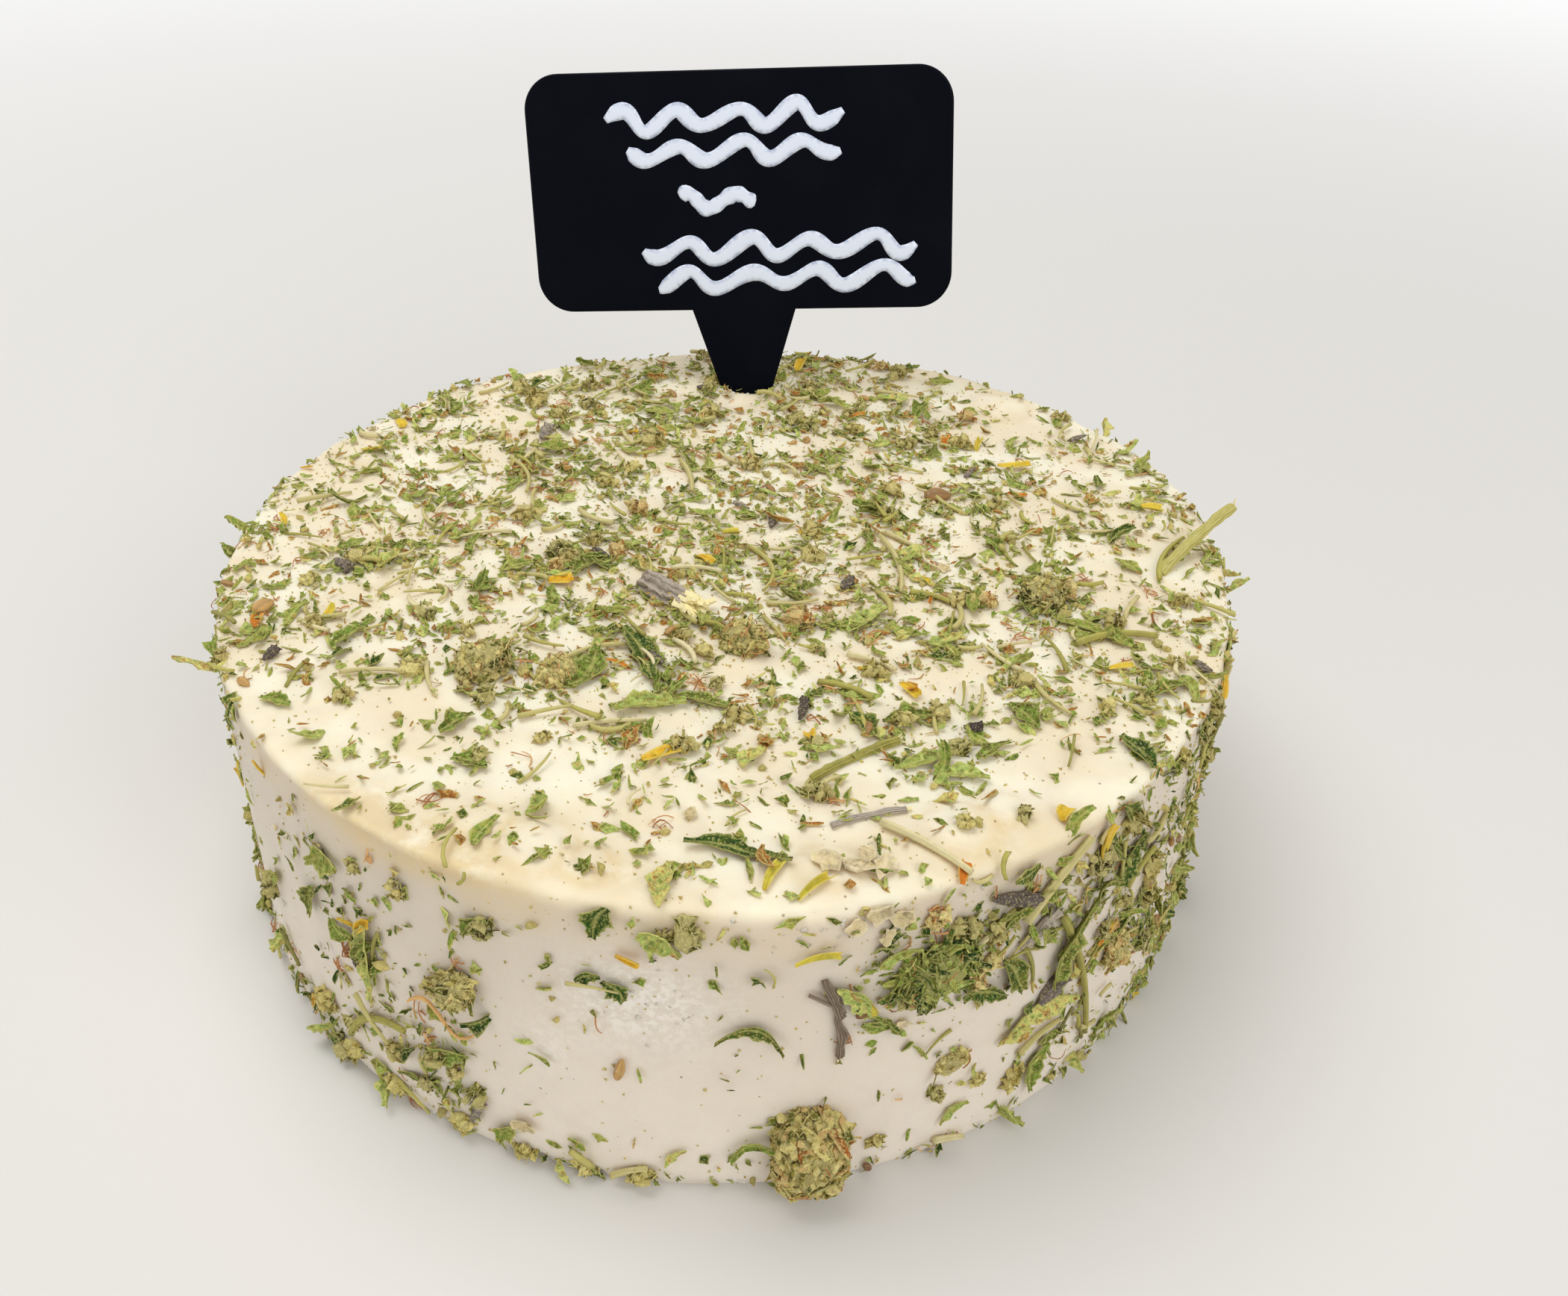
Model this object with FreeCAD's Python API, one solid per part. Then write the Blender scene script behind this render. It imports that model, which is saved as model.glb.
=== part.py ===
"""A small round cheese rolled in dried herbs, with a black tag stuck into its top.

Row frame: millimetres, +Z up, origin in the middle of the flat underside, -Y towards the front.
Places on the cheese are polar: a bearing in degrees from +X, and then either how far in from the
rim on the top, or how high up the wall.
Nodes: cheese, tag, and the herb pieces that are large enough to handle one by one.
"""

import FreeCAD
import Part

import math
import os

Vec = FreeCAD.Vector
UP = Vec(0, 0, 1)

# Cheese: a hand-turned disc, slightly wider at the foot, with an uneven outline.
CHEESE_DIAMETER = 100.0
CHEESE_HEIGHT = 33.0  # at the middle of the dome
DOME_RISE = 0.6  # how much higher the middle of the top is than its rim
FOOT_SPREAD = 0.4  # how much further out the wall stands at the base than at the top
RIM_ROUNDING = 1.6
FOOT_ROUNDING = 1.0
# Long waves in the outline: lobes round the cheese, depth, bearing of the first lobe.
OUTLINE_WAVES = ((2, 0.83, 50.0), (3, 0.87, 37.4), (4, 0.24, -44.7))
# Dents and bulges in the wall: bearing, height, spread round in degrees, spread up, push outwards.
WALL_DENTS = ((264.0, 20.0, 8.0, 5.0, -0.9), (281.0, 29.0, 8.0, 5.0, 0.7))
OUTLINE_POINTS = 48
OUTLINE_SECTIONS = 7

# Tag: one moulded plate with a tapered spike, leaning back a little.
PLATE_WIDTH = 48.6
PLATE_HEIGHT = 26.5
PLATE_CORNER = 4.0
TAG_THICKNESS = 1.0
TAG_EDGE_ROUNDING = 0.25
SPIKE_LENGTH = 16.4
SPIKE_TOP_WIDTH = 12.2
SPIKE_TIP_WIDTH = 1.6
SPIKE_TIP_ROUNDING = 0.6
SPIKE_SHOWING = 10.0  # length of spike between the plate and the cheese
SLOT_CLEARANCE = 0.05
TAG_BEARING = 90.5
TAG_INSET = 13.5  # from the rim to where the spike goes in
TAG_YAW = -3.2
TAG_LEAN = -13.2
TAG_ROLL = -3.5

# Herb pieces stick to the paste, which takes in this share of their thickness.
PRESSED_IN = 0.3
FLOOR_CLEARANCE = 0.3
BLUNT_SHARE = 0.4  # share of a bud's length that lies on the blunt side of its widest place

# Buds on the top: bearing, inset from the rim, turn, length, width, height above the paste.
TOP_BUDS = (
    (226.0, 18.7, 20.0, 5.4, 4.4, 2.9),
    (274.0, 32.8, -25.0, 4.8, 4.0, 2.6),
    (237.5, 22.3, 65.0, 4.6, 3.6, 2.2),
    (345.5, 19.4, 40.0, 5.6, 4.4, 2.4),
)
# Buds on the wall: bearing, height, turn, length, width, how far they stand out.
WALL_BUDS = (
    (246.5, 19.0, 50.0, 4.8, 3.8, 1.9),
    (290.0, 23.6, 15.0, 7.6, 5.8, 2.0),
    (293.4, 11.7, 25.0, 3.4, 2.4, 1.2),
    (315.5, 13.6, 70.0, 4.4, 3.2, 1.8),
)
# The largest bud hangs at the foot of the wall: bearing, length, width, how far it stands out.
FOOT_BUD = (279.8, 9.4, 7.2, 4.2)
# Stems on the top: node, bearing and inset of each end, diameter.
TOP_STEMS = (
    ("woody_stem", (224.5, 38.4), (262.0, 36.6), 2.0),
    ("straw_stem", (282.3, 13.3), (298.4, 16.2), 1.2),
    ("grey_stem", (282.8, 7.6), (292.0, 8.0), 0.9),
)
# A twig on the wall: bearing and height of each end, diameter.
WALL_TWIG = ((280.4, 25.2), (282.4, 15.6), 1.1)
# A stalk that starts on the top and runs out over the rim: bearing, inset, run, diameter.
PALE_STALK = (358.6, 7.0, Vec(8.6, 8.2, 3.6), 1.1)


def bulge(angle, height):
    """How far dents and bulges move the wall outwards at one place."""
    push = 0
    for bearing, centre, spread_round, spread_up, depth in WALL_DENTS:
        turn = math.degrees(angle) - bearing
        off_round = ((turn + 180) % 360 - 180) / spread_round
        off_up = (height - centre) / spread_up
        push += depth * math.exp(-(off_round**2) - off_up**2)
    return push


def outline_radius(angle, height):
    """Distance from the axis to the wall, before its edges are rounded."""
    spread = FOOT_SPREAD * (1 - height / CHEESE_HEIGHT)
    radius = CHEESE_DIAMETER / 2 + spread + bulge(angle, height)
    for lobes, depth, bearing in OUTLINE_WAVES:
        radius += depth * math.cos(lobes * (angle - math.radians(bearing)))
    return radius


def polar(angle, radius, height):
    return Vec(radius * math.cos(angle), radius * math.sin(angle), height)


def dome_sphere_radius():
    """Radius of the large sphere whose cap is the slightly domed top."""
    rim = CHEESE_DIAMETER / 2
    return (rim**2 + DOME_RISE**2) / (2 * DOME_RISE)


def on_top(bearing, inset):
    """A place on the domed top, this far in from the rim."""
    radius = CHEESE_DIAMETER / 2 - inset
    sphere = dome_sphere_radius()
    height = CHEESE_HEIGHT - sphere + math.sqrt(sphere**2 - radius**2)
    return polar(math.radians(bearing), radius, height)


def on_wall(bearing, height):
    angle = math.radians(bearing)
    return polar(angle, outline_radius(angle, height), height)


def outline_wire(height):
    """Closed smooth curve round the cheese at one height."""
    step = 2 * math.pi / OUTLINE_POINTS
    angles = [i * step for i in range(OUTLINE_POINTS)]
    curve = Part.BSplineCurve()
    curve.interpolate(Points=[polar(a, outline_radius(a, height), height) for a in angles], PeriodicFlag=True)
    return Part.Wire([curve.toShape()])


def make_whole_cheese():
    """The disc with its dome and rounded edges, before the tag is pushed in."""
    heights = [CHEESE_HEIGHT * i / (OUTLINE_SECTIONS - 1) for i in range(OUTLINE_SECTIONS)]
    disc = Part.makeLoft([outline_wire(h) for h in heights], True, False)
    sphere = dome_sphere_radius()
    domed = disc.common(Part.makeSphere(sphere, Vec(0, 0, CHEESE_HEIGHT - sphere)))
    rim = [e for e in domed.Edges if e.BoundBox.ZMin > CHEESE_HEIGHT / 2]
    rounded = domed.makeFillet(RIM_ROUNDING, rim)
    foot = [e for e in rounded.Edges if e.BoundBox.ZMax < FOOT_ROUNDING / 2]
    return rounded.makeFillet(FOOT_ROUNDING, foot)


def slab(points, thickness):
    """A flat plate of this outline, in the local XZ plane and centred on Y."""
    face = Part.Face(Part.makePolygon(points + points[:1]))
    face.translate(Vec(0, -thickness / 2, 0))
    return face.extrude(Vec(0, thickness, 0))


def spike_blank(grow):
    """The spike alone; grow widens it all round, for the slot that it leaves in the cheese."""
    wide = SPIKE_TOP_WIDTH / 2 + grow
    narrow = SPIKE_TIP_WIDTH / 2 + grow
    tip = -SPIKE_LENGTH - grow
    corners = [Vec(-wide, 0, 0), Vec(wide, 0, 0), Vec(narrow, 0, tip), Vec(-narrow, 0, tip)]
    return slab(corners, TAG_THICKNESS + 2 * grow)


def edges_across(solid, heights):
    """Edges that run straight through a slab's thickness at one of these heights."""
    found = []
    for edge in solid.Edges:
        box = edge.BoundBox
        runs_across = box.XLength < 1e-6 and box.ZLength < 1e-6
        if runs_across and any(abs(box.ZMin - h) < 1e-6 for h in heights):
            found.append(edge)
    return found


def place_tag(solid):
    """Moves a shape made round the plate's lower edge to where the tag stands in the cheese."""
    yaw = FreeCAD.Rotation(UP, TAG_YAW)
    lean = FreeCAD.Rotation(Vec(1, 0, 0), TAG_LEAN)
    roll = FreeCAD.Rotation(Vec(0, 1, 0), TAG_ROLL)
    turn = roll * lean * yaw
    entry = on_top(TAG_BEARING, TAG_INSET)
    solid.Placement = FreeCAD.Placement(entry + turn.multVec(UP) * SPIKE_SHOWING, turn)
    return solid


def make_tag():
    half = PLATE_WIDTH / 2
    lower = [Vec(-half, 0, 0), Vec(half, 0, 0)]
    upper = [Vec(half, 0, PLATE_HEIGHT), Vec(-half, 0, PLATE_HEIGHT)]
    plate = slab(lower + upper, TAG_THICKNESS)
    plate = plate.makeFillet(PLATE_CORNER, edges_across(plate, (0, PLATE_HEIGHT)))
    spike = spike_blank(0)
    spike = spike.makeFillet(SPIKE_TIP_ROUNDING, edges_across(spike, (-SPIKE_LENGTH,)))
    tag = plate.fuse(spike).removeSplitter()
    flat = [e for e in tag.Edges if e.BoundBox.YLength < 1e-6]
    return place_tag(tag.makeFillet(TAG_EDGE_ROUNDING, flat))


def facing(place, wall):
    """Unit direction straight out of the paste, on the wall or on the top."""
    return Vec(place.x, place.y, 0).normalize() if wall else UP


def half_egg(reach, width, thickness):
    """Half of an ellipsoid, from the middle plane to its end along X, or along -X if negative."""
    pole = Vec(math.copysign(1, reach), 0, 0)
    half = Part.makeSphere(0.5, Vec(0, 0, 0), pole, 0, 90, 360)
    stretch = FreeCAD.Matrix()
    stretch.scale(2 * abs(reach), width, thickness)
    return half.transformGeometry(stretch)


def make_bud(place, wall, turn, length, width, proud):
    """A dried flower head, egg-shaped, lying with its long axis along the surface."""
    thickness = proud / (1 - PRESSED_IN)
    blunt = length * BLUNT_SHARE
    egg = half_egg(-blunt, width, thickness).fuse(half_egg(length - blunt, width, thickness))
    out = facing(place, wall)
    level = UP.cross(out) if wall else Vec(1, 0, 0)
    along = FreeCAD.Rotation(out, turn).multVec(level)
    pose = FreeCAD.Rotation(along, out.cross(along), out, "XZY")
    egg.Placement = FreeCAD.Placement(place + out * (proud - thickness / 2), pose)
    return egg


def make_stem(start, end, wall, diameter):
    """A straight piece of dried stem lying on the surface from start to end."""
    rise = facing((start + end) * 0.5, wall) * (diameter * (0.5 - PRESSED_IN))
    return Part.makeCylinder(diameter / 2, (end - start).Length, start + rise, end - start)


def herb_pieces():
    """Each large herb piece by node name, as it lies and before the paste takes it in."""
    pieces = {}
    for i, (bearing, inset, *shape) in enumerate(TOP_BUDS, 1):
        pieces[f"top_bud_{i}"] = make_bud(on_top(bearing, inset), False, *shape)
    for i, (bearing, height, *shape) in enumerate(WALL_BUDS, 1):
        pieces[f"wall_bud_{i}"] = make_bud(on_wall(bearing, height), True, *shape)
    bearing, length, width, proud = FOOT_BUD
    place = on_wall(bearing, FLOOR_CLEARANCE + length / 2)
    pieces["foot_bud"] = make_bud(place, True, 90, length, width, proud)
    for node, start, end, diameter in TOP_STEMS:
        pieces[node] = make_stem(on_top(*start), on_top(*end), False, diameter)
    start, end, diameter = WALL_TWIG
    pieces["wall_twig"] = make_stem(on_wall(*start), on_wall(*end), True, diameter)
    bearing, inset, run, diameter = PALE_STALK
    start = on_top(bearing, inset)
    pieces["pale_stalk"] = make_stem(start, start + run, False, diameter)
    return pieces


def main():
    os.makedirs("parts", exist_ok=True)
    whole = make_whole_cheese()
    slot = place_tag(spike_blank(SLOT_CLEARANCE))
    solids = {"cheese": whole.cut(slot), "tag": make_tag()}
    for node, piece in herb_pieces().items():
        solids[node] = piece.cut(whole)
    for node, solid in solids.items():
        state = f"solids {len(solid.Solids)} valid {solid.isValid()}"
        print(f"{node:12s} {state} volume {solid.Volume:.1f} mm3")
        solid.Solids[0].exportStep(os.path.join("parts", node + ".step"))


main()
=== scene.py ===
"""Looks for a small round cheese in a coat of dried herbs, with a dark pick label in its top.

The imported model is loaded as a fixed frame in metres, +Z up. The wheel, each group of herbs, the
label's ink and the stage have an operator each. A place on the top is given by X and Y in millimetres,
and one on the wall by its bearing in degrees from +X and its height in millimetres.
"""

import functools
import math
import random

import bmesh
import bpy
import numpy as np
from mathutils import Euler, Matrix, Quaternion, Vector, noise
from mathutils.bvhtree import BVHTree


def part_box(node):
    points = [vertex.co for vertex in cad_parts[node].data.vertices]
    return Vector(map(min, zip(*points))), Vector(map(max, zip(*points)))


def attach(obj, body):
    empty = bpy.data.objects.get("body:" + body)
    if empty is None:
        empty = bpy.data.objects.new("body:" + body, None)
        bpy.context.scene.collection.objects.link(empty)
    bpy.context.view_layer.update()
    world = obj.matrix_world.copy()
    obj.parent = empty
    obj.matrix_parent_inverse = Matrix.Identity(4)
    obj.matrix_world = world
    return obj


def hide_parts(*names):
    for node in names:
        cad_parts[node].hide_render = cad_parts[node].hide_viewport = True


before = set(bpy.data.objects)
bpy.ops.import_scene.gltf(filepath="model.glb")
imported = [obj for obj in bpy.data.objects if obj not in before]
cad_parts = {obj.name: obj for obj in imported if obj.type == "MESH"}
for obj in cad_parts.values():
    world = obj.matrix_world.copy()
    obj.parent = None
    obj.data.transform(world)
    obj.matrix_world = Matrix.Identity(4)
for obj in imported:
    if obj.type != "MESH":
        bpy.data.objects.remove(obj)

bl_info = {
    "name": "Herb-coated cheese",
    "version": (1, 0, 0),
    "blender": (4, 5, 0),
    "location": "3D View > Sidebar > Cheese",
    "description": "Builds the paste, the herb coat, the label's ink and the stage round the packed model",
    "category": "Object",
}

MM = 0.001
UP = Vector((0, 0, 1))
FULL_TURN = 2 * math.pi
ANY_SPIN = 6.28  # a full turn in radians, near enough for a random one
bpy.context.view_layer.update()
CHEESE_LOW, CHEESE_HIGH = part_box("cheese")
RADIUS = (CHEESE_HIGH.x - CHEESE_LOW.x) / 2
HEIGHT = CHEESE_HIGH.z
RIM_ROUNDING = 1.6 * MM
FOOT_ROUNDING = 1.0 * MM
ARC_STEPS = 7  # steps of the mesh round each of the two
FLOOR_GAP = 0.02 * MM
FACING_UP = 0.7  # a normal with more than this in Z belongs to the top
WHEEL = "cheese_wheel"


def srgb(red, green, blue):
    """A display colour of 0 to 255 as the linear colour that a shader takes."""

    def linear(value):
        value /= 255
        return value / 12.92 if value <= 0.04045 else ((value + 0.055) / 1.055) ** 2.4

    return (linear(red), linear(green), linear(blue), 1.0)


def colour_property(name, description, default):
    return bpy.props.FloatVectorProperty(
        name=name, description=description, subtype="COLOR", size=4, min=0, max=1, default=default
    )


def length_property(name, description, default_mm):
    return bpy.props.FloatProperty(
        name=name, description=description, unit="LENGTH", subtype="DISTANCE", default=default_mm * MM
    )


def count_property(name, description, default):
    return bpy.props.IntProperty(name=name, description=description, min=0, default=default)


# ---------------------------------------------------------------- properties


class PasteLook(bpy.types.PropertyGroup):
    # The paste's top, wall and foot colours: the paler top is painted light, the greyer wall painted shade,
    # and the lighter foot painted bounce light from the floor.
    top_lit_colour: colour_property("Top colour", "Colour of the paste on the top", srgb(248, 240, 216))
    wall_shaded_colour: colour_property("Wall colour", "Colour of the paste high on the wall", srgb(222, 210, 192))
    foot_bounce_lit_colour: colour_property("Foot colour", "Colour of the paste low on the wall", srgb(239, 228, 213))
    rim_colour: colour_property("Rim colour", "Oily patches along the rim", srgb(224, 200, 150))
    wave: length_property("Wave", "Height of the long waves in the surface", 0.22)
    dimple: length_property("Dimple", "Height of the small dimples in the surface", 0.07)
    ring_step: length_property("Ring step", "Distance between the rings of the mesh", 0.8)
    turns: bpy.props.IntProperty(name="Steps", description="Steps round the wheel", default=330)


class HerbLook(bpy.types.PropertyGroup):
    seed: bpy.props.IntProperty(name="Seed", description="Start of the random draws", default=11)
    flakes: count_property("Flakes", "Small torn bits of leaf", 5000)
    shreds: count_property("Shreds", "Narrow slivers of leaf", 5400)
    leaves: count_property("Leaves", "Larger curled pieces of leaf", 300)
    crumbs: count_property("Crumbs", "Coarse olive crumbs", 900)
    tufts: count_property("Tufts", "Small rough flower heads", 120)
    straws: count_property("Straws", "Bits of stalk", 360)
    hairs: count_property("Hairs", "Bundles of rust-coloured threads", 430)
    petals: count_property("Petals", "Yellow petals", 46)
    cups: count_property("Cups", "Ribbed grey flower cups", 12)
    seeds: count_property("Seeds", "Smooth brown seeds", 30)
    scales: count_property("Scales", "Papery bracts", 26)
    dust: count_property("Dust", "Finest specks", 15000)


class LabelLook(bpy.types.PropertyGroup):
    plastic: colour_property("Plastic", "Colour of the label", srgb(2, 4, 12))
    ink: colour_property("Ink", "Colour of the marker ink", srgb(230, 238, 254))
    stroke: length_property("Stroke", "Width of the marker's stroke", 1.7)
    ink_height: length_property("Ink height", "How far the dried ink stands up", 0.05)


class StageLook(bpy.types.PropertyGroup):
    floor_colour: colour_property("Floor", "Colour of the floor", srgb(226, 224, 220))
    floor_size: length_property("Floor size", "Side of the floor", 2400)
    camera_place: bpy.props.FloatVectorProperty(
        name="Camera place", description="Where the camera stands", subtype="TRANSLATION",
        default=(5.2 * MM, -130.0 * MM, 111.25 * MM),
    )
    camera_pitch: bpy.props.FloatProperty(
        name="Pitch", description="How far the camera looks down", subtype="ANGLE",
        default=math.radians(34.81),
    )
    camera_roll: bpy.props.FloatProperty(
        name="Roll", description="Turn about the line of sight", subtype="ANGLE",
        default=math.radians(2.03),
    )
    lens: bpy.props.FloatProperty(name="Lens", description="Focal length in mm", default=34.58)


# ---------------------------------------------------------------- shaders


class Wire:
    """A shader value that can be used in plain arithmetic."""

    def __init__(self, finish, socket):
        self.finish = finish
        self.socket = socket

    def _math(self, operation, first, second):
        return self.finish.node("ShaderNodeMath", {"operation": operation}, {0: first, 1: second})

    def __add__(self, other):
        return self._math("ADD", self, other)

    def __sub__(self, other):
        return self._math("SUBTRACT", self, other)

    def __mul__(self, other):
        return self._math("MULTIPLY", self, other)

    def __radd__(self, other):
        return self._math("ADD", other, self)

    def __rsub__(self, other):
        return self._math("SUBTRACT", other, self)

    def __gt__(self, other):
        return self._math("GREATER_THAN", self, other)

    def __lt__(self, other):
        return self._math("LESS_THAN", self, other)

    def between(self, low, high):
        """0 below low, 1 above high, and a smooth rise between; low may be the larger."""
        settings = {"interpolation_type": "SMOOTHSTEP"}
        inputs = {"Value": self, "From Min": low, "From Max": high}
        return self.finish.node("ShaderNodeMapRange", settings, inputs)


class Finish:
    """A material or a world under construction."""

    def __init__(self, owner):
        self.owner = owner
        owner.use_nodes = True
        self.tree = owner.node_tree
        self.tree.nodes.clear()

    def node(self, kind, settings=None, inputs=None, output=0):
        """Adds a node: its settings first, then the value or the link of each socket."""
        made = self.tree.nodes.new(kind)
        for key, value in (settings or {}).items():
            if key == "stops":
                self._set_stops(made.color_ramp, value)
            else:
                setattr(made, key, value)
        for key, value in (inputs or {}).items():
            if isinstance(value, Wire):
                self.tree.links.new(value.socket, made.inputs[key])
            else:
                made.inputs[key].default_value = value
        return Wire(self, made.outputs[output]) if made.outputs else None

    @staticmethod
    def _set_stops(ramp, stops):
        while len(ramp.elements) < len(stops):
            ramp.elements.new(1.0)
        for element, (place, colour) in zip(ramp.elements, stops):
            element.position = place
            element.color = colour

    def place(self):
        return self.node("ShaderNodeTexCoord", output="Object")

    def axis(self, name):
        return self.node("ShaderNodeSeparateXYZ", inputs={0: self.place()}, output=name)

    def seen(self):
        """1 for what the camera sees, straight or in a gloss or through glass, and 0 for light."""
        rays = [self.node("ShaderNodeLightPath", output=f"Is {kind} Ray")
                for kind in ("Camera", "Glossy", "Transmission")]
        return rays[0] + rays[1] + rays[2]

    def mark(self, name):
        """A number that the mesh carries."""
        return self.node("ShaderNodeAttribute", {"attribute_name": name}, output="Fac")

    def noise(self, size_mm, detail=3.0, rough=0.55, shift=0.0):
        """Soft noise from 0 to 1 whose blotches are about this large."""
        vector = self.node("ShaderNodeVectorMath", {"operation": "ADD"}, {0: self.place(), 1: (shift,) * 3})
        inputs = {"Vector": vector, "Scale": 1 / (size_mm * MM), "Detail": detail, "Roughness": rough}
        return self.node("ShaderNodeTexNoise", inputs=inputs)

    def cells(self, size_mm, output="Distance"):
        inputs = {"Vector": self.place(), "Scale": 1 / (size_mm * MM)}
        return self.node("ShaderNodeTexVoronoi", inputs=inputs, output=output)

    def ramp(self, value, stops):
        return self.node("ShaderNodeValToRGB", {"stops": stops}, {"Fac": value})

    def mix(self, factor, first, second):
        inputs = {0: factor, 6: first, 7: second}
        return self.node("ShaderNodeMix", {"data_type": "RGBA"}, inputs, output=2)

    def bump(self, height, depth_mm, below=None):
        inputs = {"Height": height, "Distance": depth_mm * MM, "Strength": 1.0}
        if below is not None:
            inputs["Normal"] = below
        return self.node("ShaderNodeBump", inputs=inputs)

    def finish(self, colour, roughness, normal, **constants):
        """Closes the material; constants are sockets that stay the same all over."""
        inputs = {"Base Color": colour, "Roughness": roughness, "Normal": normal}
        inputs.update({name.replace("_", " "): value for name, value in constants.items()})
        shader = self.node("ShaderNodeBsdfPrincipled", inputs=inputs)
        self.node("ShaderNodeOutputMaterial", inputs={"Surface": shader})
        return self.owner


# Colours that the finishes mix in.
CLOUDY_PASTE = srgb(214, 200, 184)
OIL_STAIN = srgb(172, 158, 104)
BROWN_SPECK = srgb(150, 118, 72)
DRY_FLECK = srgb(248, 243, 234)
# Painted shade for the dips of dried plant.
DIP_SHADE_COLOUR = srgb(46, 42, 18)
PALE_FROST = srgb(228, 216, 148)
# Painted shade for the grooves between ribs.
GROOVE_SHADE_COLOUR = srgb(62, 54, 40)
PALE_FIBRE = srgb(232, 224, 200)
PLASTIC_HAZE = srgb(12, 16, 26)
THIN_INK = srgb(128, 142, 178)
PAPER_GRAIN = srgb(200, 198, 192)
STUDIO_LIGHT = srgb(243, 241, 238)
WHITE = (1, 1, 1, 1)


def paste_material(look):
    """Soft ivory paste: cream on the top and greyer on the wall as painted light and shade on one paste,
    painted lighter low on the wall as bounce light from the floor, oily along the rim.
    """
    mat = Finish(bpy.data.materials.new("ivory_paste"))
    height = mat.axis("Z")
    wander = mat.noise(6.0) - 0.5
    on_wall = (height + wander * (1.2 * MM)).between(HEIGHT - 0.7 * MM, HEIGHT - 2.0 * MM)
    # Painted light and shade: the wall is greyer than the top and grows lighter towards the foot, as if lit
    # by the floor.
    side = mat.mix(height.between(28 * MM, 0.0), look.wall_shaded_colour, look.foot_bounce_lit_colour)
    colour = mat.mix(on_wall, look.top_lit_colour, side)
    low = (height + wander * (3 * MM)).between(HEIGHT - 7 * MM, HEIGHT - 2 * MM)
    rim = low * mat.noise(9.0, 2.0, 0.5, 0.3).between(0.36, 0.62)
    colour = mat.mix(rim * 0.4, colour, look.rim_colour)
    oil = mat.mark("oil") * mat.noise(2.6, 4.0, 0.6, 0.5).between(0.24, 0.54)
    colour = mat.mix(oil * 0.85, colour, look.rim_colour)
    cloud = mat.noise(3.2, 4.0, 0.6, 0.11).between(0.35, 0.75)
    colour = mat.mix(cloud * 0.22, colour, CLOUDY_PASTE)
    stain = mat.noise(1.1, 5.0, 0.7, 0.7).between(0.66, 0.8)
    colour = mat.mix(stain * 0.35, colour, OIL_STAIN)
    speck_size = mat.cells(1.5, output="Color")
    speck = (mat.cells(1.5) < 0.08) * (mat.node("ShaderNodeSeparateColor", inputs={0: speck_size}) > 0.72)
    colour = mat.mix(speck * 0.7, colour, BROWN_SPECK)
    scuff = mat.mark("scuff")
    flecks = scuff * mat.noise(0.7, 4.0, 0.7, 0.9).between(0.45, 0.58)
    colour = mat.mix(scuff * 0.15 + flecks * 0.5, colour, DRY_FLECK)
    rough = 0.46 - on_wall * 0.08 + flecks * 0.4 + mat.noise(2.0, 3.0, 0.6, 0.5) * 0.16
    soft = mat.bump(mat.noise(2.4, 3.0, 0.5, 0.2), 0.10)
    fine = mat.bump(mat.noise(0.35, 3.0, 0.6, 0.4), 0.022, soft)
    grain = mat.bump(scuff * mat.noise(0.7, 4.0, 0.7, 0.9), 0.085, fine)
    return mat.finish(
        colour, rough, grain, Subsurface_Weight=0.35, Subsurface_Radius=(1.0, 0.72, 0.5),
        Subsurface_Scale=2.0 * MM, Specular_IOR_Level=0.42, IOR=1.42,
    )


def dried_material(name, stops, grain_mm, pale, frost=0.25, rough=0.78, vein=0.5, dip_shade=0.5):
    """Dried plant: each bit has its own tone, a paler spine, an edge paler partly in its own colour and
    partly as a painted highlight, dark blotches of painted shade in its dips, pale frosting.
    """
    mat = Finish(bpy.data.materials.new(name))
    tone = mat.mark("tint") + (mat.noise(grain_mm, 5.0, 0.75) - 0.5) * 1.25
    colour = mat.ramp(tone, stops)
    # Painted shade: noise blotches are darkened as dips in shade would be.
    painted_dip_shade = mat.noise(grain_mm, 4.0, 0.65, 0.17).between(0.38, 0.55)
    colour = mat.mix((1 - painted_dip_shade) * dip_shade, colour, DIP_SHADE_COLOUR)
    part = mat.mark("part")
    # The spine is paler in its own colour; the edge is paler partly in its own colour and partly as a
    # painted highlight.
    pale_spine_and_edge_highlight = part.between(0.3, 0.0) * vein + part.between(0.75, 1.0) * 0.5
    colour = mat.mix(pale_spine_and_edge_highlight, colour, pale)
    frosting = mat.noise(grain_mm * 0.36, 2.0, 0.5, 0.31).between(0.54, 0.62)
    colour = mat.mix(frosting * frost, colour, PALE_FROST)
    normal = mat.bump(mat.noise(grain_mm * 0.5, 4.0, 0.7, 0.6), grain_mm * 0.22)
    return mat.finish(colour, rough + frosting * 0.1, normal, Specular_IOR_Level=0.16)


def ribbed_material(name, stops, rib_mm, rough=0.7, groove_shade=0.45):
    """Stalks and cups: fine ribs that run along the piece, read from its own marks, with painted shade in
    the grooves between them.
    """
    mat = Finish(bpy.data.materials.new(name))
    colour = mat.ramp(mat.mark("tint") + (mat.noise(rib_mm * 3, 3.0) - 0.5) * 0.3, stops)
    across = mat.mark("part")
    # Painted shade: the grooves between the ribs are darkened.
    colour = mat.mix(across.between(0.75, 0.0) * groove_shade, colour, GROOVE_SHADE_COLOUR)
    fibres = mat.noise(rib_mm, 5.0, 0.75, 0.21)
    colour = mat.mix(fibres.between(0.55, 0.75) * 0.4, colour, PALE_FIBRE)
    normal = mat.bump(fibres, rib_mm * 0.25)
    return mat.finish(colour, rough, normal, Specular_IOR_Level=0.32)


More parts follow.
